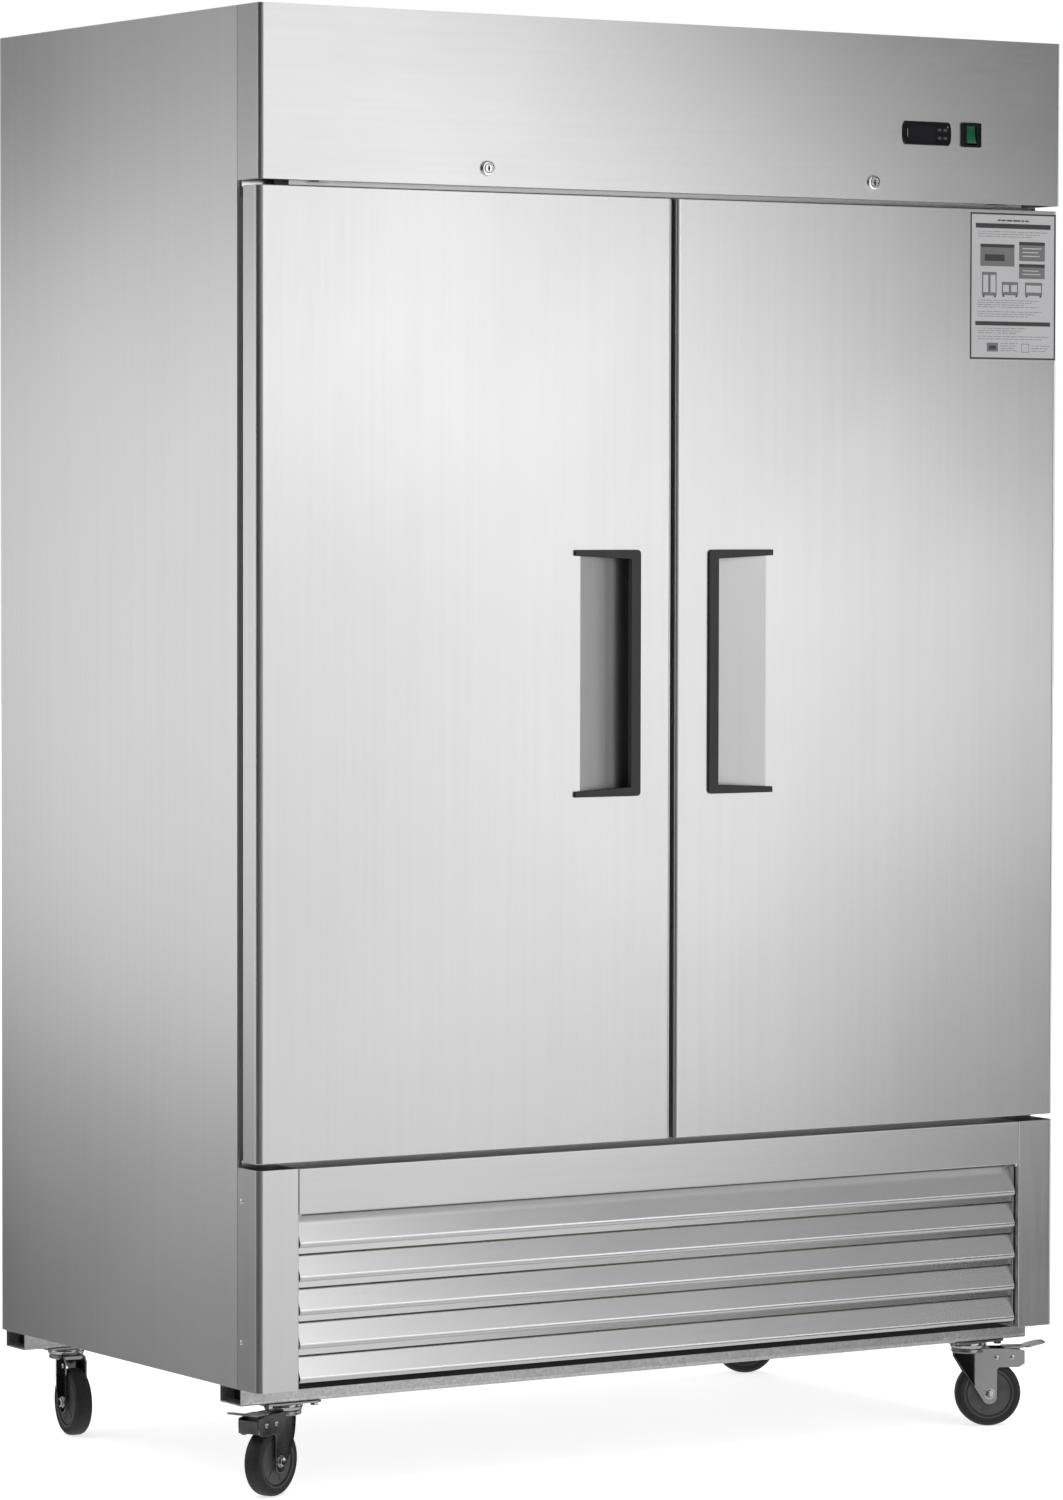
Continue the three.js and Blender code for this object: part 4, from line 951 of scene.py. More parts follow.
def lock(side):
    """A cam lock: a bright barrel set in the header, and a plug with a keyhole that turns in it."""
    low, high = cad(f"{side}_lock_plug")
    at = centre(f"{side}_lock_barrel")
    place = aim("front", at.x, HEADER_FRONT, at.z)
    proud = HEADER_FRONT - cad(f"{side}_lock_barrel")[0].y
    barrel = [(6.3, -22), (8.9, -22), (8.9, 0.3), (10.6, 0.3), (11, 0.8), (11, 1.8), (10.2, proud - 0.6),
              (9.2, proud), (7.4, proud), (6.8, proud - 0.7), (6.3, proud - 1.0)]
    make(f"{side}_lock_ring", turned(barrel, 48, place, closed=True), "chrome",
         replaces=[f"{side}_lock_barrel"], bevel=0)

    def keyhole(grow):
        slot, waist = 1.2 + grow, 2.0 + grow
        corners = [(slot, -4.3 - grow), (slot, -1.4 - grow), (waist, -1.4 - grow), (waist, 1.4 + grow),
                   (slot, 1.4 + grow), (slot, 4.3 + grow)]
        return [(at.x + a, at.z + b) for a, b in corners + [(-a, b) for a, b in reversed(corners)]]

    body = f"{side}_lock"
    front, cam_front = HEADER_FRONT - low.y, HEADER_FRONT - high.y
    plug = [(0, cam_front), (6.9, cam_front), (6.9, cam_front + 3), (5.9, cam_front + 3), (5.9, front - 0.6),
            (5.3, front), (0, front)]
    make(f"{side}_lock_key_plug", turned(plug, 40, place), "chrome", body, [f"{side}_lock_plug"],
         cuts=[extruded(keyhole(0), "xz", low.y - 2, low.y + 7)], bevel=0)
    # Painted shade: a near-black piece fills the keyhole just behind the plug's face, for the shadow in the
    # hole.
    insert = extruded(keyhole(-0.05), "xz", low.y + 0.7, low.y + 6.9)
    make(f"{side}_lock_keyhole_painted_shade", insert, "dark", body, bevel=0)
    tip = low.x if at.x - low.x > high.x - at.x else high.x
    reach = abs(tip - at.x)
    way = math.copysign(1, tip - at.x)
    arm = rounded([(0, -7), (reach, -5.5), (reach, 5.5), (0, 7)], 3, 4)
    arm_outline = [(at.x + way * a, at.z + b) for a, b in arm]
    make(f"{side}_lock_cam", extruded(arm_outline, "xz", high.y - 3, high.y - 0.02), "zinc", body)
    nut = [(0, 0), (5, 0), (5, 3.2), (4.4, 3.8), (0, 3.8)]
    place = aim("back", at.x, high.y - 0.4, at.z)
    make(f"{side}_lock_cam_nut", turned(nut, 6, place), "zinc", body, bevel=0.3)


def controller():
    """A panel thermostat: a glossy bezel with bowed ends, a window, keys and a small indicator."""
    low, high = cad("temperature_controller")
    front = low.y
    bow = CONTROLLER_BOW
    middle = (low.z + high.z) / 2
    half = (high.z - low.z) / 2
    outline = []
    for end, way in ((high.x - bow, 1), (low.x + bow, -1)):
        for k in range(9):
            z = way * (-half + 2 * half * k / 8)
            outline.append((end + way * bow * (1 - (z / half) ** 4), middle + z))
    make("controller_bezel", extruded(outline, "xz", front + 0.25, HEADER_FRONT - 0.3), "gloss",
         replaces=["temperature_controller"], bevel=1.2)
    window = rounded(rectangle(low.x + 12, high.x - 30, middle - 11, middle + 11), 2, 4)
    make("controller_window", extruded(window, "xz", front + 0.05, front + 0.5), "window", bevel=0.15)
    case = rectangle(low.x + 6, high.x - 6, low.z + 3, high.z - 3)
    make("controller_case", extruded(case, "xz", HEADER_FRONT - 0.2, HEADER_FRONT + 54), "plastic", bevel=0.8)

    def keys(bm):
        for column in range(2):
            for row in range(2):
                x = high.x - 22 + column * 10.5
                z = middle - 6.5 + row * 12
                slab(bm, (x - 3.4, x + 3.4, z - 2.1, z + 2.1), 1, 3, "xz", front + 0.05, front + 0.4)

    make("controller_keys", keys, "mark", bevel=0.1)

    def lights(bm):
        block(bm, low.x + 7.2, low.x + 8.6, front + 0.1, front + 0.5, middle - 6, middle + 6)
        dot = aim("front", high.x - 7, front + 0.4, middle + 10)
        lathe(bm, [(0, 0), (1.3, 0), (1.3, 0.25), (0, 0.35)], 16, dot)

    make("controller_lights", lights, "led", bevel=0)


def power_switch():
    """A frame and a case round a well, with a lit rocker in it whose face is dished."""
    low, high = cad("switch_housing")
    face = HEADER_FRONT
    mid_x, mid_z = (low.x + high.x) / 2, (low.z + high.z) / 2
    x0, x1, z0, z1 = low.x + 3, high.x - 3, low.z + 3, high.z - 3
    well_x0, well_x1 = mid_x - SWITCH_WELL[0], mid_x + SWITCH_WELL[0]
    well_z0, well_z1 = mid_z - SWITCH_WELL[1], mid_z + SWITCH_WELL[1]

    def hollow(bm):
        block(bm, well_x0, well_x1, face - 10, face + 12, well_z0, well_z1)

    outline = rounded(rectangle(low.x, high.x, low.z, high.z), 2.5, 5)
    make("switch_frame", extruded(outline, "xz", low.y, face - 0.3), "gloss", replaces=["switch_housing"],
         slot="black_plastic", cuts=[hollow], bevel=1.0)

    def case(bm):
        for wall in ((x0, well_x0, z0, z1), (well_x1, x1, z0, z1), (well_x0, well_x1, z0, well_z0),
                     (well_x0, well_x1, well_z1, z1)):
            block(bm, wall[0], wall[1], face - 0.25, face + 23, wall[2], wall[3])
        block(bm, x0, x1, face + 12, face + 13.5, z0, z1)

    make("switch_case", case, "plastic", bevel=0)
    half, steps = ROCKER["half_height"], 10
    dish = []
    for k in range(steps + 1):
        z = -half + 2 * half * k / steps
        dish.append((-ROCKER["face"] - ROCKER["dish"] * (z / half) ** 2, z))
    tilt = Matrix.Rotation(math.radians(ROCKER["rest_tilt"]), 4, "X")
    place = Matrix.Translation((mid_x, face + 3, mid_z)) @ tilt
    rocker = extruded(dish + [(3, 9), (3, -9)], "yz", -ROCKER["half_width"], ROCKER["half_width"])
    make("switch_rocker", rocker, "lens", "rocker", ["power_rocker"], place=place, bevel=0.6)


header()
header_lip()
for side, sign in SIDES:
    lock(side)
controller()
power_switch()


# ---------------------------------------------------------------- columns and louvred grille
SLAT = {"count": 5, "pitch": 47.4, "first": 172.9, "y": -377.0, "radius": 6.0, "rise": 64.0, "length": 44.0,
        "sheet": 1.1, "lip": 8.5}
RAIL_BOTTOM = 404.5
COLUMN_FOLD = 9.5


def column(side, sign):
    low, high = cad(f"{side}_column")
    x0, x1 = width_range(f"{side}_column")
    run = [(x0, low.y + 58), (x0, low.y), (x1, low.y), (x1, high.y)]
    outline = flipped(folded(run, [0, 1.6, COLUMN_FOLD, 0]), sign)
    make(f"{side}_front_column", extruded(outline, "xy", low.z, high.z), "panel",
         replaces=[f"{side}_column"], bevel=0.5)


def slat_section(nose_z, lip):
    """A slope that runs down and forward to a rolled nose, with a short lip hanging under it."""
    rise = math.radians(SLAT["rise"])
    radius, sheet = SLAT["radius"], SLAT["sheet"]
    start, end, steps = rise + math.pi / 2, math.radians(262), 14
    slope = Vector((math.cos(rise), math.sin(rise))) * SLAT["length"]
    nose = Vector((SLAT["y"], nose_z))
    outer, inner = [], []
    for k in range(steps + 1):
        angle = start + (end - start) * k / steps
        spoke = Vector((math.cos(angle), math.sin(angle)))
        outer.append(nose + spoke * radius)
        inner.append(nose + spoke * (radius - sheet))
    outer.insert(0, outer[0] + slope)
    inner.insert(0, inner[0] + slope)
    if lip:
        foot = outer[-1].y
        back = SLAT["y"] + 2.4
        outer += [Vector((back, foot)), Vector((back, foot - lip))]
        inner += [Vector((back + sheet, foot + sheet)), Vector((back + sheet, foot - lip))]
    return [tuple(p) for p in outer + inner[::-1]]


def grille():
    low, high = cad("louver_grille")
    slat_x = high.x - 3.5
    front, top = low.y, high.z
    rail = folded([(front + 16, top), (front, top), (front, RAIL_BOTTOM), (front + 16, RAIL_BOTTOM)], 2.2)
    make("grille_rail", extruded(rail, "yz", -high.x, high.x), "slat", replaces=["louver_grille"], bevel=0.3)

    def slats(bm):
        for i in range(SLAT["count"]):
            lip = SLAT["lip"] if i else 0
            prism(bm, slat_section(SLAT["first"] + i * SLAT["pitch"], lip), "yz", -slat_x, slat_x)

    make("grille_slats", slats, "louvre", bevel=0.25)
    bar_low, bar_high = cad("front_cross_bar")

    def seal(bm):
        """A near-black strip on the cross bar under the lowest slat: painted shadow for the gap there."""
        block(bm, -slat_x - 38, slat_x + 38, bar_low.y - 1.6, bar_low.y - 0.1,
              bar_high.z - 7.5, SLAT["first"] - SLAT["radius"] - 0.4)

    # Painted shadow: the real gap under the lowest slat is only shade.
    make("grille_painted_shadow_strip", seal, "dark", slot="gasket_rubber", bevel=0.3)

    def brackets(bm):
        for sign in (-1, 1):
            outer = sign * (slat_x + 1.8)
            block(bm, sign * (slat_x + 0.3), outer, front + 9, high.y, low.z, RAIL_BOTTOM + 10)
            block(bm, sign * (slat_x - 16), outer, high.y - 1.5, high.y, low.z + 4, RAIL_BOTTOM + 8)

    make("grille_brackets", brackets, "galvanised", bevel=0.3)


for side, sign in SIDES:
    column(side, sign)
grille()


# ---------------------------------------------------------------- cross bars and small fastenings
BAR_WALL = 2
HINGE_PLATE = 4


def cross_bar(name):
    """A square-cornered galvanised tube with a folded seam along its front face, and a near-black disc set
    inside each end as painted shade.
    """
    low, high = cad(name)
    corner = rounded(rectangle(low.y, high.y, low.z, high.z), 2.0, 5)
    seam_z = low.z + 5.2
    seam = [(low.y - 1, seam_z - 0.55), (low.y + 0.55, seam_z), (low.y - 1, seam_z + 0.55)]

    def within(wall):
        return rounded(rectangle(low.y + wall, high.y - wall, low.z + wall, high.z - wall), 0.8, 3)

    def cuts(bm):
        prism(bm, within(BAR_WALL), "yz", low.x - 5, high.x + 5)
        prism(bm, seam, "yz", low.x - 5, high.x + 5)

    make(f"{name}_tube", extruded(corner, "yz", low.x, high.x), "bar", replaces=[name], cuts=[cuts], bevel=0)

    # Painted shade: near-black discs inside the open ends darken the tube's hollow.
    def shade_discs(bm):
        for sign in (-1, 1):
            prism(bm, within(BAR_WALL + 0.2), "yz", sign * (high.x - 26), sign * (high.x - 22))

    make(f"{name}_end_painted_shade", shade_discs, "dark", bevel=0)


for name in ("front_cross_bar", "rear_cross_bar"):
    cross_bar(name)

side_x = cad("right_side_panel")[1].x
seam_y = cad("right_side_panel")[0].y
for side, sign in SIDES:
    column_spots = [(sign * (side_x - 0.05), seam_y - 12, z) for z in (225, 423)]
    screws(f"{side}_column_screws", column_spots, side)
    flange_spots = [(sign * x, seam_y - 5.0, z) for x in (646, 674) for z in (496, 526, 1781, 1811)]
    screws(f"{side}_hinge_screws", flange_spots, "front", radius=4.2, height=2.0, look="zinc")


def hinge(side, sign, level):
    """A hinge bracket: a plate in the gap beside the door's corner, its flange, a collar and the pin."""
    node = f"{side}_{level}_hinge"
    low, high = cad(node)
    way = 1 if level == "lower" else -1
    plate_z = (low.z, low.z + HINGE_PLATE) if way == 1 else (high.z - HINGE_PLATE, high.z)
    base = plate_z[1] if way == 1 else plate_z[0]
    outline = flipped(rounded(wrap(*width_range(node), low.y, high.y), FOLD, 8, ends=False), sign)

    def build(bm):
        prism(bm, outline, "xy", *plate_z)
        block(bm, sign * 634, sign * 686, high.y - HINGE_PLATE, high.y, low.z + 0.01, high.z - 0.01)

    steps = [(0, 0), (8, 0), (8, 1.6), (4, 2), (4, 18), (3, 19), (0, 19)]
    pin = Matrix.Translation((sign * PIN_HOLE["x"], PIN_HOLE["y"], 0))
    make(f"{node}_bracket", build, "race", replaces=[node], bevel=0.5)
    profile = [(radius, base + way * rise) for radius, rise in steps]
    make(f"{node}_pin", turned(profile, 28, pin), "race", bevel=0)


for side, sign in SIDES:
    for level in ("lower", "upper"):
        hinge(side, sign, level)


# ---------------------------------------------------------------- casters
# Caster pieces are drawn round the swivel axis at the origin, with the wheel trailing along +X.
WHEEL_RADIUS = 50
TRAIL = 30
LEG_OUTER = 17.6
LEG_SHEET = 2.6
BEND_START = 9  # the legs curve in from here to their front edge
BEND_RADIUS = 44
PLATE_THICKNESS = 3
RIBS = 6
FOUR_CORNERS = [(x, y) for x in (-1, 1) for y in (-1, 1)]
CASTER_TURN = {"front_left": 205, "front_right": -25, "rear_left": 263, "rear_right": -30}


def slice_along(bm, first, last, step):
    """Cuts the mesh across X, every step from first to last, so that it can be bent."""
    at = first
    while at <= last:
        geometry = bm.verts[:] + bm.edges[:] + bm.faces[:]
        bmesh.ops.bisect_plane(bm, geom=geometry, plane_co=(at, 0, 0), plane_no=(1, 0, 0), dist=1e-5)
        at += step


def swung(x, z, radius, degrees):
    """Points round a centre, at angles that start straight below it and swing towards +X."""
    return [(x + radius * math.sin(a), z - radius * math.cos(a)) for a in map(math.radians, degrees)]


def leg_outline(brake):
    front = [(-23, 119), (-23, 106), (TRAIL - 10.5, 41)]
    foot = swung(TRAIL, 46, 12, range(-52, 91, 13))
    if not brake:
        return front + foot + [(TRAIL + 12, 110), (TRAIL + 4, 119)]
    inner = [(TRAIL + 12 + 4 * (1 - math.cos(a)), 90 - 4 * (1 - math.sin(a)))
             for a in map(math.radians, range(0, 91, 30))]
    return front + foot + inner + swung(72, 102, 12, range(0, 91, 15)) + [(84, 115.5), (60, 119)]


def fork(corner, brake, place):
    def legs(bm):
        outline = leg_outline(brake)
        for sign in (-1, 1):
            prism(bm, outline, "xz", sign * (LEG_OUTER - LEG_SHEET), sign * LEG_OUTER)
        slice_along(bm, -22, BEND_START, 2.5)
        for vertex in bm.verts:
            past = BEND_START - vertex.co.x
            if past > 0:
                drop = past * past / (2 * BEND_RADIUS)
                vertex.co.y -= math.copysign(drop, vertex.co.y)

    def crown(bm):
        profile = [(0, 112), (23.5, 112), (25.6, 113.2), (26, 115), (25.6, 117.6), (24, 118.9), (19, 119.1),
                   (0, 119.1)]
        lathe(bm, profile, 56)
        block(bm, -12, TRAIL + 3, -LEG_OUTER + 0.6, LEG_OUTER - 0.6, 113.2, 118.2)
        if brake:
            block(bm, 81.6, 84, -LEG_OUTER + 0.4, LEG_OUTER - 0.4, 94, 112)

    def rivets(bm):
        for t in (TRAIL + 11, 65) if brake else (TRAIL + 2,):
            for sign, turn in ((-1, "front"), (1, "back")):
                spot = aim(turn, t, sign * (LEG_OUTER - 0.1), 105)
                lathe(bm, [(0, 0), (3.6, 0), (3.5, 0.7), (2.6, 1.3), (0, 1.6)], 20, spot)

    def axle(bm):
        rod(bm, 4, -20, 20, 24, aim("front", TRAIL, 0, WHEEL_RADIUS))
        foot = LEG_OUTER + 1
        for turn in ("front", "back"):
            out = aim(turn, TRAIL, 0, WHEEL_RADIUS)
            lathe(bm, [(4, LEG_OUTER), (8.6, LEG_OUTER), (8.6, foot), (4, foot)], 32, out, closed=True)
            head = [(0, foot), (7.2, foot), (7.2, foot + 2.4), (6.2, foot + 3.6), (3.2, foot + 3.9),
                    (0, foot + 3.9)]
            lathe(bm, head, 6, out @ Matrix.Rotation(math.radians(20), 4, "Z"))

    body = f"{corner}_fork"
    node = f"{corner}_caster_fork"
    make(f"{corner}_fork_legs", legs, "fork", body, [node], place=place, bevel=0.5, crisp=30)
    make(f"{corner}_fork_crown", crown, "zinc", body, place=place, bevel=0.3)
    make(f"{corner}_fork_rivets", rivets, "race", body, place=place, bevel=0)
    make(f"{corner}_axle_bolt", axle, "race", body, place=place)


def top_plate(corner, place):
    low, high = cad(f"{corner}_caster_plate")
    half_x, half_y = (high.x - low.x) / 2, (high.y - low.y) / 2
    under = high.z - PLATE_THICKNESS
    top = under - 0.1
    race = [(0, top), (25, top), (27.4, top - 1.6), (28, top - 4), (27.4, top - 6.6), (26.4, top - 8.6),
            (26.4, low.z + 0.1), (0, low.z + 0.1)]

    def bolts(bm):
        for x, y in FOUR_CORNERS:
            spot = aim("down", x * (half_x - 9), y * (half_y - 8), under)
            lathe(bm, [(0, 0), (6.4, 0), (6.4, 3.4), (5.6, 4.2), (0, 4.2)], 6, spot)

    outline = rounded(rectangle(-half_x, half_x, -half_y, half_y), 6, 6)
    make(f"{corner}_top_plate", extruded(outline, "xy", under, high.z), "zinc",
         replaces=[f"{corner}_caster_plate"], place=place, bevel=0.5)
    make(f"{corner}_swivel_race", turned(race, 64), "race", place=place, bevel=0)
    make(f"{corner}_plate_bolts", bolts, "race", place=place, bevel=0.3)


def wheel(corner, place):
    """The wheel is drawn round its own Z axis, so that its tread lines can follow the turn."""
    hub_half = [(4.7, 13.2), (8.5, 13.2), (9.2, 11.4), (14, 10.4), (28, 10.2), (32.4, 10.9), (33, 10.6),
                (33.4, 8.6), (35.4, 8.6), (35.8, 11.8), (36.6, 12.6), (38.2, 12.8)]
    tyre_half = [(38.4, 12.7), (39.5, 13.3), (43.5, 13.5), (45.8, 12.9), (48.2, 10.8), (49.5, 8.0),
                 (WHEEL_RADIUS, 4.5), (WHEEL_RADIUS, 0)]
    axle = place @ aim("front", TRAIL, 0, WHEEL_RADIUS)

    def both(half):
        return [(r, -z) for r, z in half] + [(r, z) for r, z in reversed(half) if z]

    def hub(bm):
        lathe(bm, both(hub_half), 80, closed=True)
        for k in range(RIBS):
            angle = Matrix.Rotation(math.radians(360 / RIBS * k + 12), 4, "Z")
            for sign in (-1, 1):
                rib = rectangle(12, 30, -1.1, 1.1)
                prism(bm, [(angle @ Vector((a, b, 0))).xy for a, b in rib], "xy", sign * 9.5, sign * 11.0)

    body = f"{corner}_wheel"
    make(f"{corner}_wheel_hub", hub, "hub", body, [f"{corner}_caster_wheel"], place=axle, bevel=0)
    make(f"{corner}_tyre", turned(both(tyre_half), 120, closed=True), "tyre", body, place=axle, bevel=0)


def pedal(corner, place):
    """The brake's treadle: a pressed plate that rises to a wider tip, on a lug between the arms."""
    plan = rounded([(52, -13.5), (86, -13.5), (90, -19.8), (108, -19.8), (117, -12), (117, 12), (108, 19.8),
                    (90, 19.8), (86, 13.5), (52, 13.5)], 1.2, 3)

    def rise(t):
        along = min(max((t - 78) / 39, 0), 1)
        return 6.5 * along * along * (3 - 2 * along)

    def plate(bm):
        prism(bm, plan, "xy", 118.6, 120.9)
        slice_along(bm, 56, 116, 4)
        for vertex in bm.verts:
            vertex.co.z += rise(vertex.co.x)

    def grips(bm):
        for t in (93, 98, 103, 108):
            half = 15 if t < 105 else 13
            base = 120.8 + rise(t)
            block(bm, t - 0.9, t + 0.9, -half, half, base - 0.4, base + 0.7)

    lug = rounded([(58, 118.8), (58, 100), (72, 100), (72, 118.8)], 4, 5, ends=False)
    body = f"{corner}_pedal"
    make(f"{corner}_brake_treadle", plate, "zinc", body, [f"{corner}_brake_pedal"], place=place, crisp=40)
    make(f"{corner}_treadle_ridges", grips, "zinc", body, place=place, bevel=0.3)
    make(f"{corner}_treadle_lug", extruded(lug, "xz", -9, 9), "zinc", body, place=place)


for corner, degrees in CASTER_TURN.items():
    at = centre(f"{corner}_caster_plate")
    fixed = Matrix.Translation((at.x, at.y, 0))
    turn = Matrix.Rotation(math.radians(degrees), 4, "Z")
    brake = corner.startswith("front")
    top_plate(corner, fixed)
    fork(corner, brake, fixed @ turn)
    wheel(corner, fixed @ turn)
    if brake:
        pedal(corner, fixed @ turn)


# ---------------------------------------------------------------- inside the cold cabinet
WIRE = 1.9
RIM = 3.0
WIRE_PITCH = 25.5
FAN_OPENING = 65


def wire_shelf(side, level):
    """A coated wire shelf: wires running front to back on a rim and three cross rods."""
    node = f"{side}_shelf_{level}"
    low, high = cad(node)
    x0, x1, y0, y1 = low.x + RIM, high.x - RIM, low.y + RIM, high.y - RIM
    rim_z = low.z + RIM
    wire_z = high.z - WIRE
    count = round((x1 - x0) / WIRE_PITCH)

    def build(bm):
        corners = rounded(rectangle(x0, x1, y0, y1), 12, 5)
        sweep(bm, [(a, b, rim_z) for a, b in corners], RIM, 10, closed=True)
        for part in (0.25, 0.5, 0.75):
            y = y0 + (y1 - y0) * part
            sweep(bm, [(x0, y, rim_z - 0.6), (x1, y, rim_z - 0.6)], 2.3, 8)
        for i in range(1, count):
            x = x0 + (x1 - x0) * i / count
            sweep(bm, [(x, y0, rim_z), (x, y0 + 5, wire_z), (x, y1 - 5, wire_z), (x, y1, rim_z)], WIRE, 8)

    make(f"{side}_wire_shelf_{level}", build, "epoxy", replaces=[node], bevel=0)


def pilasters():
    """Slotted strips on the walls, with a near-black strip behind each row of slots as painted shade."""
    liner_low, liner_high = cad("inner_liner")
    face = liner_high.x - SHEET - 6
    z0, z1 = liner_low.z + 1.2, cad("evaporator_cover")[0].z - 60
    pitch = 25.4
    half = 9
    slot = 3.2
    places = [(sign * face, y, -sign) for sign in (-1, 1) for y in (-230, 270)]

    def strips(bm):
        for x, y, way in places:
            near, far = x + way * 0.1, x + way * 1.1
            for b0, b1 in ((y - half, y - slot), (y + slot, y + half)):
                block(bm, near, far, b0, b1, z0, z1)
            z = z0 + 8
            block(bm, near, far, y - slot, y + slot, z0, z)
            while z + pitch < z1:
                block(bm, near, far, y - slot, y + slot, z + 9, z + pitch)
                z += pitch
            block(bm, near, far, y - slot, y + slot, z + 9, z1)

    # Painted shade: near-black strips behind the slots stand in for the shadow in them.
    def slot_shade_backs(bm):
        for x, y, way in places:
            block(bm, x + way * 0.03, x + way * 0.09, y - 3.4, y + 3.4, z0 + 1, z1 - 1)

    make("pilaster_strips", strips, "inner", bevel=0)
    make("pilaster_painted_slot_shade", slot_shade_backs, "dark", slot="stainless", bevel=0)


def evaporator():
    """The cooling unit under the ceiling: a bent cover with a fan guard, air slots, screws and a coil."""
    low, high = cad("evaporator_cover")
    run = [(low.y, high.z), (low.y, low.z + 40), (low.y + 40, low.z), (high.y, low.z), (high.y, high.z)]
    section = rounded(run, 6, 6, ends=False)
    inner = rounded(offset(run, SHEET), 5, 6, ends=False)
    fan_z = sum(corner.z for corner in cad("evaporator_fan")) / 2

    def openings(bm):
        rod(bm, FAN_OPENING, -8, 8, 64, aim("front", 0, low.y, fan_z))
        for sign in (-1, 1):
            for k in range(9):
                x = sign * (150 + k * 30)
                slab(bm, (x - 5, x + 5, fan_z - 42, fan_z + 42), 4.9, 4, "xz", low.y - 4, low.y + 4)

    make("evaporator_housing", extruded(section + inner[::-1], "yz", low.x + SHEET, high.x - SHEET), "liner",
         replaces=["evaporator_cover"], cuts=[openings], bevel=0.3)

    def ends(bm):
        for sign in (-1, 1):
            prism(bm, section, "yz", sign * (high.x - SHEET), sign * high.x)

    make("evaporator_ends", ends, "liner", bevel=0.5)
    y = low.y + 3.2

    def guard(bm):
        for radius in (14, 26, 38, 50, 62):
            sweep(bm, [(a, y, fan_z + b) for a, b in circle(radius, 48)], 1.1, 6, closed=True)
        for k in range(4):
            angle = math.radians(45 + 90 * k)
            spoke = [(r * math.cos(angle), y + 2, fan_z + r * math.sin(angle)) for r in (0, 66)]
            sweep(bm, spoke, 1.4, 6)
        lathe(bm, [(0, 0), (12, 0), (11, 2), (0, 2.4)], 24, aim("front", 0, y + 1.4, fan_z))

    make("evaporator_fan_guard", guard, "plastic", bevel=0)
    spots = [(sign * x, low.y - 0.05, fan_z + dz) for sign in (-1, 1) for x in (120, 425) for dz in (-45, 45)]
    screws("evaporator_screws", spots, "front", radius=3.8, height=2.0)

    def coil(bm):
        for k in range(50):
            x = low.x + 20 + k * 17.2
            block(bm, x, x + 0.6, low.y + 60, high.y - 30, low.z + 12, high.z - 14)

    make("evaporator_coil", coil, "aluminium", bevel=0)


def interior_lamp():
    """A lamp under the ceiling, in front of the evaporator: a rounded translucent cover on a base."""
    ceiling = cad("inner_liner")[1].z - SHEET
    y = cad("evaporator_cover")[0].y - 52
    base = rounded(rectangle(-62, 62, y - 20, y + 20), 8, 6)
    cover = rounded(rectangle(-58, 58, y - 16, y + 16), 10, 8)
    make("interior_lamp_base", extruded(base, "xy", ceiling - 9, ceiling - 0.4), "plastic", bevel=1.0)
    make("interior_lamp_cover", extruded(cover, "xy", ceiling - 22, ceiling - 9.2), "lamp", bevel=3.0)


for side, _ in SIDES:
    for level in (1, 2, 3):
        wire_shelf(side, level)
pilasters()
evaporator()
interior_lamp()


# ---------------------------------------------------------------- fans and machine compartment
BLADES = 5
BLADE_STEPS = (10, 8)  # along a blade from hub to tip, and across it
ROOT_PITCH = 40
TIP_TWIST = 18


def fan(node, hub_radius, tip_radius, look, slot):
    """A fan drawn round its own Z axis: a domed hub, and blades that twist and widen towards their tips."""
    low, high = cad(node)
    depth = high.y - low.y
    half = depth / 2
    place = aim("front", *centre(node))
    along, across = BLADE_STEPS
    dome = [(0, -half), (hub_radius - 2, -half), (hub_radius, -half + 2), (hub_radius, half - 4),
            (hub_radius - 3, half - 1), (hub_radius * 0.5, half), (0, half)]

    def row(bm, spin, part, lift):
        """One line of vertices across a blade, at a part of the way from the hub to the tip."""
        root = hub_radius * 0.92
        radius = root + (tip_radius - 1 - root) * part
        pitch = math.radians(ROOT_PITCH - TIP_TWIST * part)
        chord = min(depth * 0.80 / math.sin(pitch), radius * 1.05)
        verts = []
        for k in range(across + 1):
            s = k / across - 0.5
            swing = s * chord * math.cos(pitch) / radius + 0.22 * part
            camber = 0.06 * chord * (1 - 4 * s * s)
            z = s * chord * math.sin(pitch) + camber * 0.5 + lift
            z = max(min(z, half - 0.2), -half + 0.2)
            verts.append(bm.verts.new(spin @ Vector((radius * math.cos(swing), radius * math.sin(swing), z))))
        return verts

    def blade_set(bm):
        rim = [(i, 0) for i in range(along)] + [(along, k) for k in range(across)]
        rim += [(along - i, across) for i in range(along)] + [(0, across - k) for k in range(across)]
        for n in range(BLADES):
            spin = Matrix.Rotation(2 * math.pi * n / BLADES, 4, "Z")
            lower, upper = [
                [row(bm, spin, i / along, lift) for i in range(along + 1)] for lift in (-0.7, 0.7)
            ]
            for i in range(along):
                for k in range(across):
                    bm.faces.new((lower[i][k], lower[i][k + 1], lower[i + 1][k + 1], lower[i + 1][k]))
                    bm.faces.new((upper[i][k], upper[i + 1][k], upper[i + 1][k + 1], upper[i][k + 1]))
            for (i, k), (p, q) in zip(rim, rim[1:] + rim[:1]):
                bm.faces.new((lower[i][k], lower[p][q], upper[p][q], upper[i][k]))

    body = f"{node}_rotor"
    make(f"{node}_hub", turned(dome, 48), "plastic", body, [node], slot, place=place, bevel=0)
    make(f"{node}_blades", blade_set, look, body, slot=slot, place=place, bevel=0, crisp=60)


fan("condenser_fan", 26, 108, "aluminium", "aluminium")
fan("evaporator_fan", 20, 60, "plastic", "black_plastic")


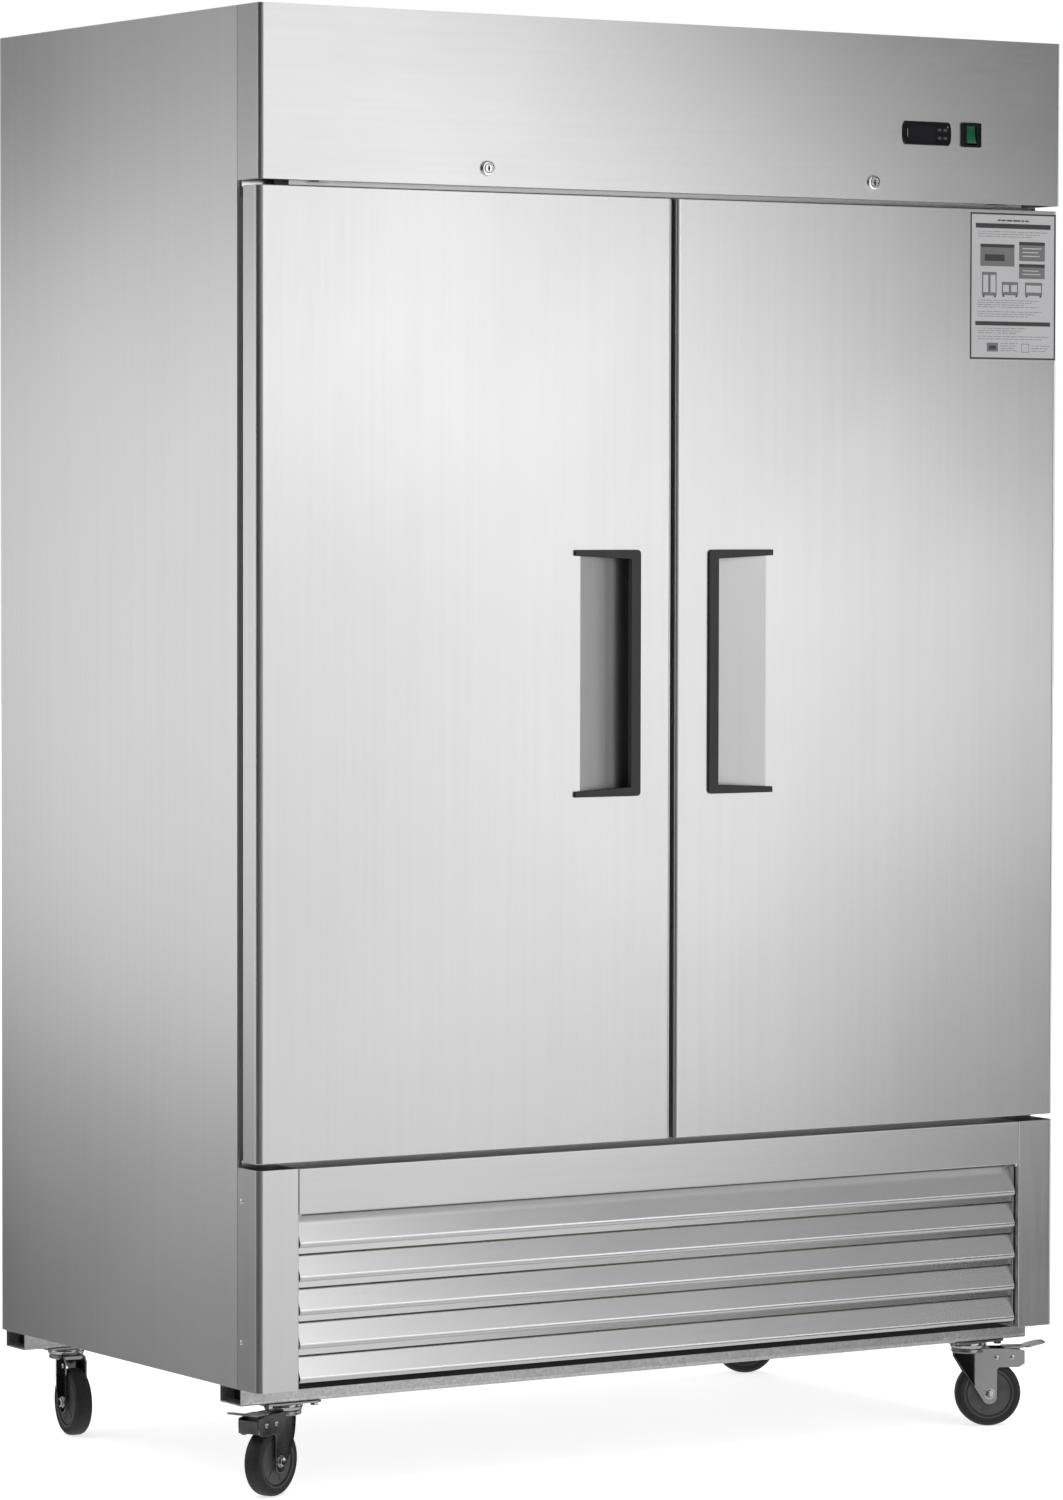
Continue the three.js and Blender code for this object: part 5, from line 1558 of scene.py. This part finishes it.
def condenser():
    """A fin-and-tube condenser with its shroud, and the fan's motor on two straps."""
    low, high = cad("condenser")
    hub = centre("condenser_fan")
    fin_back = low.y + 44
    shroud_back = cad("condenser_fan")[0].y + 34.5
    fins = 74
    rows = 9

    def fin_pack(bm):
        step = (high.x - low.x - 14) / (fins - 1)
        for i in range(fins):
            x = low.x + 7 + i * step
            block(bm, x - 0.25, x + 0.25, low.y, fin_back, low.z + 6, high.z - 6)

    def end_plates(bm):
        for x in (low.x, high.x - 2):
            block(bm, x, x + 2, low.y, shroud_back, low.z, high.z)
        for z in (low.z, high.z - 2):
            block(bm, low.x, high.x, low.y, shroud_back, z, z + 2)

    def tubes(bm):
        for y in (low.y + 13, low.y + 33):
            for row in range(rows):
                z = low.z + 22 + row * (high.z - low.z - 44) / (rows - 1)
                sweep(bm, [(low.x + 3, y, z), (high.x - 3, y, z)], 4.2, 10)

    def shroud(bm):
        block(bm, low.x + 2.2, high.x - 2.2, shroud_back - 1.5, shroud_back, low.z + 2.2, high.z - 2.2)

    def mouth(bm):
        rod(bm, 114, -9, 9, 64, aim("front", hub.x, shroud_back, hub.z))

    make("condenser_fins", fin_pack, "aluminium", replaces=["condenser"], bevel=0)
    make("condenser_frame", end_plates, "galvanised", bevel=0.3)
    make("condenser_tubes", tubes, "copper", bevel=0)
    make("condenser_shroud", shroud, "galvanised", cuts=[mouth], bevel=0.3)
    strap = (shroud_back + 0.4, shroud_back + 4.2)

    def straps(bm):
        for half_x, half_z in ((124, 9), (9, 124)):
            block(bm, hub.x - half_x, hub.x + half_x, *strap, hub.z - half_z, hub.z + half_z)

    length = high.y - strap[1]
    motor = [(0, 0), (43, 0), (44, 1.5), (44, length * 0.45), (41.5, length * 0.47),
             (41.5, length * 0.53), (44, length * 0.55), (44, length - 8),
             (38, length - 3), (16, length - 1), (14, length), (0, length)]
    place = aim("back", hub.x, strap[1] + 0.05, hub.z)
    make("condenser_motor_straps", straps, "zinc")
    make("condenser_fan_motor", turned(motor, 56, place), "paint", bevel=0)


def compressor():
    """A welded steel shell on a base plate with rubber feet, a terminal cover and copper pipes."""
    low, high = cad("compressor")
    at = centre("compressor")
    place = Matrix.Translation((at.x, at.y, low.z))
    tall = high.z - low.z
    shell = [(0, 4), (58, 4), (70, 8), (78, 18), (80, 30), (80, 96), (81.8, 97), (81.8, 103), (80, 104),
             (79, 118), (74, 140), (64, 160), (48, 174), (28, tall - 2.5), (0, tall)]
    foot = [(0, 0), (13, 0), (13, 3), (9, 5), (9, 8), (12, 10), (12, 14), (0, 14)]

    def feet(bm):
        for x, y in FOUR_CORNERS:
            lathe(bm, foot, 24, Matrix.Translation((at.x + x * 90, at.y + y * 60, low.z + 3)))

    def elbow(x, y, z, radius):
        """Points of a quarter turn that starts at a point, runs out along X and ends upwards."""
        quarter = [math.pi / 2 * k / 8 for k in range(9)]
        return [(x + radius * math.sin(a), y, z + abs(radius) * (1 - math.cos(a))) for a in quarter]

    def pipes(bm):
        top = [(88, -20, 158), (88, -20, 170), (84, -14, 176), (60, 20, 178), (20, 60, 178), (-30, 78, 178)]
        sweep(bm, [(50, -20, 118)] + elbow(60, -20, 118, 28) + top, 4.2, 10)
        end = [(-84, 24, 130), (-86, 10, 150), (-88, -30, 152)]
        sweep(bm, [(-52, 24, 60)] + elbow(-60, 24, 60, -24) + end, 3.2, 10)

    plate = rounded(rectangle(low.x, high.x, low.y, high.y), 12, 5)
    box = rounded(rectangle(-34, 34, 46, 108), 6, 5)
    make("compressor_shell", turned(shell, 72, place), "paint", replaces=["compressor"], bevel=0)
    make("compressor_base", extruded(plate, "xy", low.z + 0.5, low.z + 3), "paint", bevel=0.5)
    make("compressor_feet", feet, "gasket", bevel=0)
    make("compressor_terminal_cover", extruded(box, "xz", -98, -74), "plastic", place=place, bevel=2.0)
    make("compressor_pipes", pipes, "copper", slot="black_paint", place=place, bevel=0)


condenser()
compressor()


# ---------------------------------------------------------------- rear
def gland():
    """A cable gland with a hexagonal nut and a domed cap. Its hole is open, because no cable is fitted."""
    at = centre("cord_gland")
    back = cad("rear_cover")[1].y
    place = aim("back", at.x, back, at.z)
    proud = cad("cord_gland")[1].y - back
    nut = rectangle(4.6, 14, 0.3, 2.2)
    cap = [(4.5, -13), (8.9, -13), (8.9, 0.4), (9.5, 0.6), (10.6, 2.2), (10.6, proud - 1.4), (9.2, proud),
           (5.4, proud), (4.5, proud - 1)]

    def build(bm):
        lathe(bm, nut, 6, place, closed=True)
        lathe(bm, cap, 40, place, closed=True)

    make("cable_gland", build, "plastic", replaces=["cord_gland"], bevel=0.3)


def rear_screws(name, side_heights, along, row_heights):
    """Screws down both edges of the back, and along rows across it."""
    high = cad("back_panel")[1]
    y = high.y - 0.05
    spots = [(sign * (high.x - 9), y, z) for sign in (-1, 1) for z in side_heights]
    spots += [(x, y, z) for x in along for z in row_heights]
    screws(name, spots, "back", radius=4.0, height=2.0)


gland()
rear_screws("rear_panel_screws", (500, 880, 1270, 1660, 2050), (-450, -150, 150, 450), (2066, 488))
rear_screws("rear_cover_screws", (190, 315, 448), (-450, -150, 150, 450), (452,))
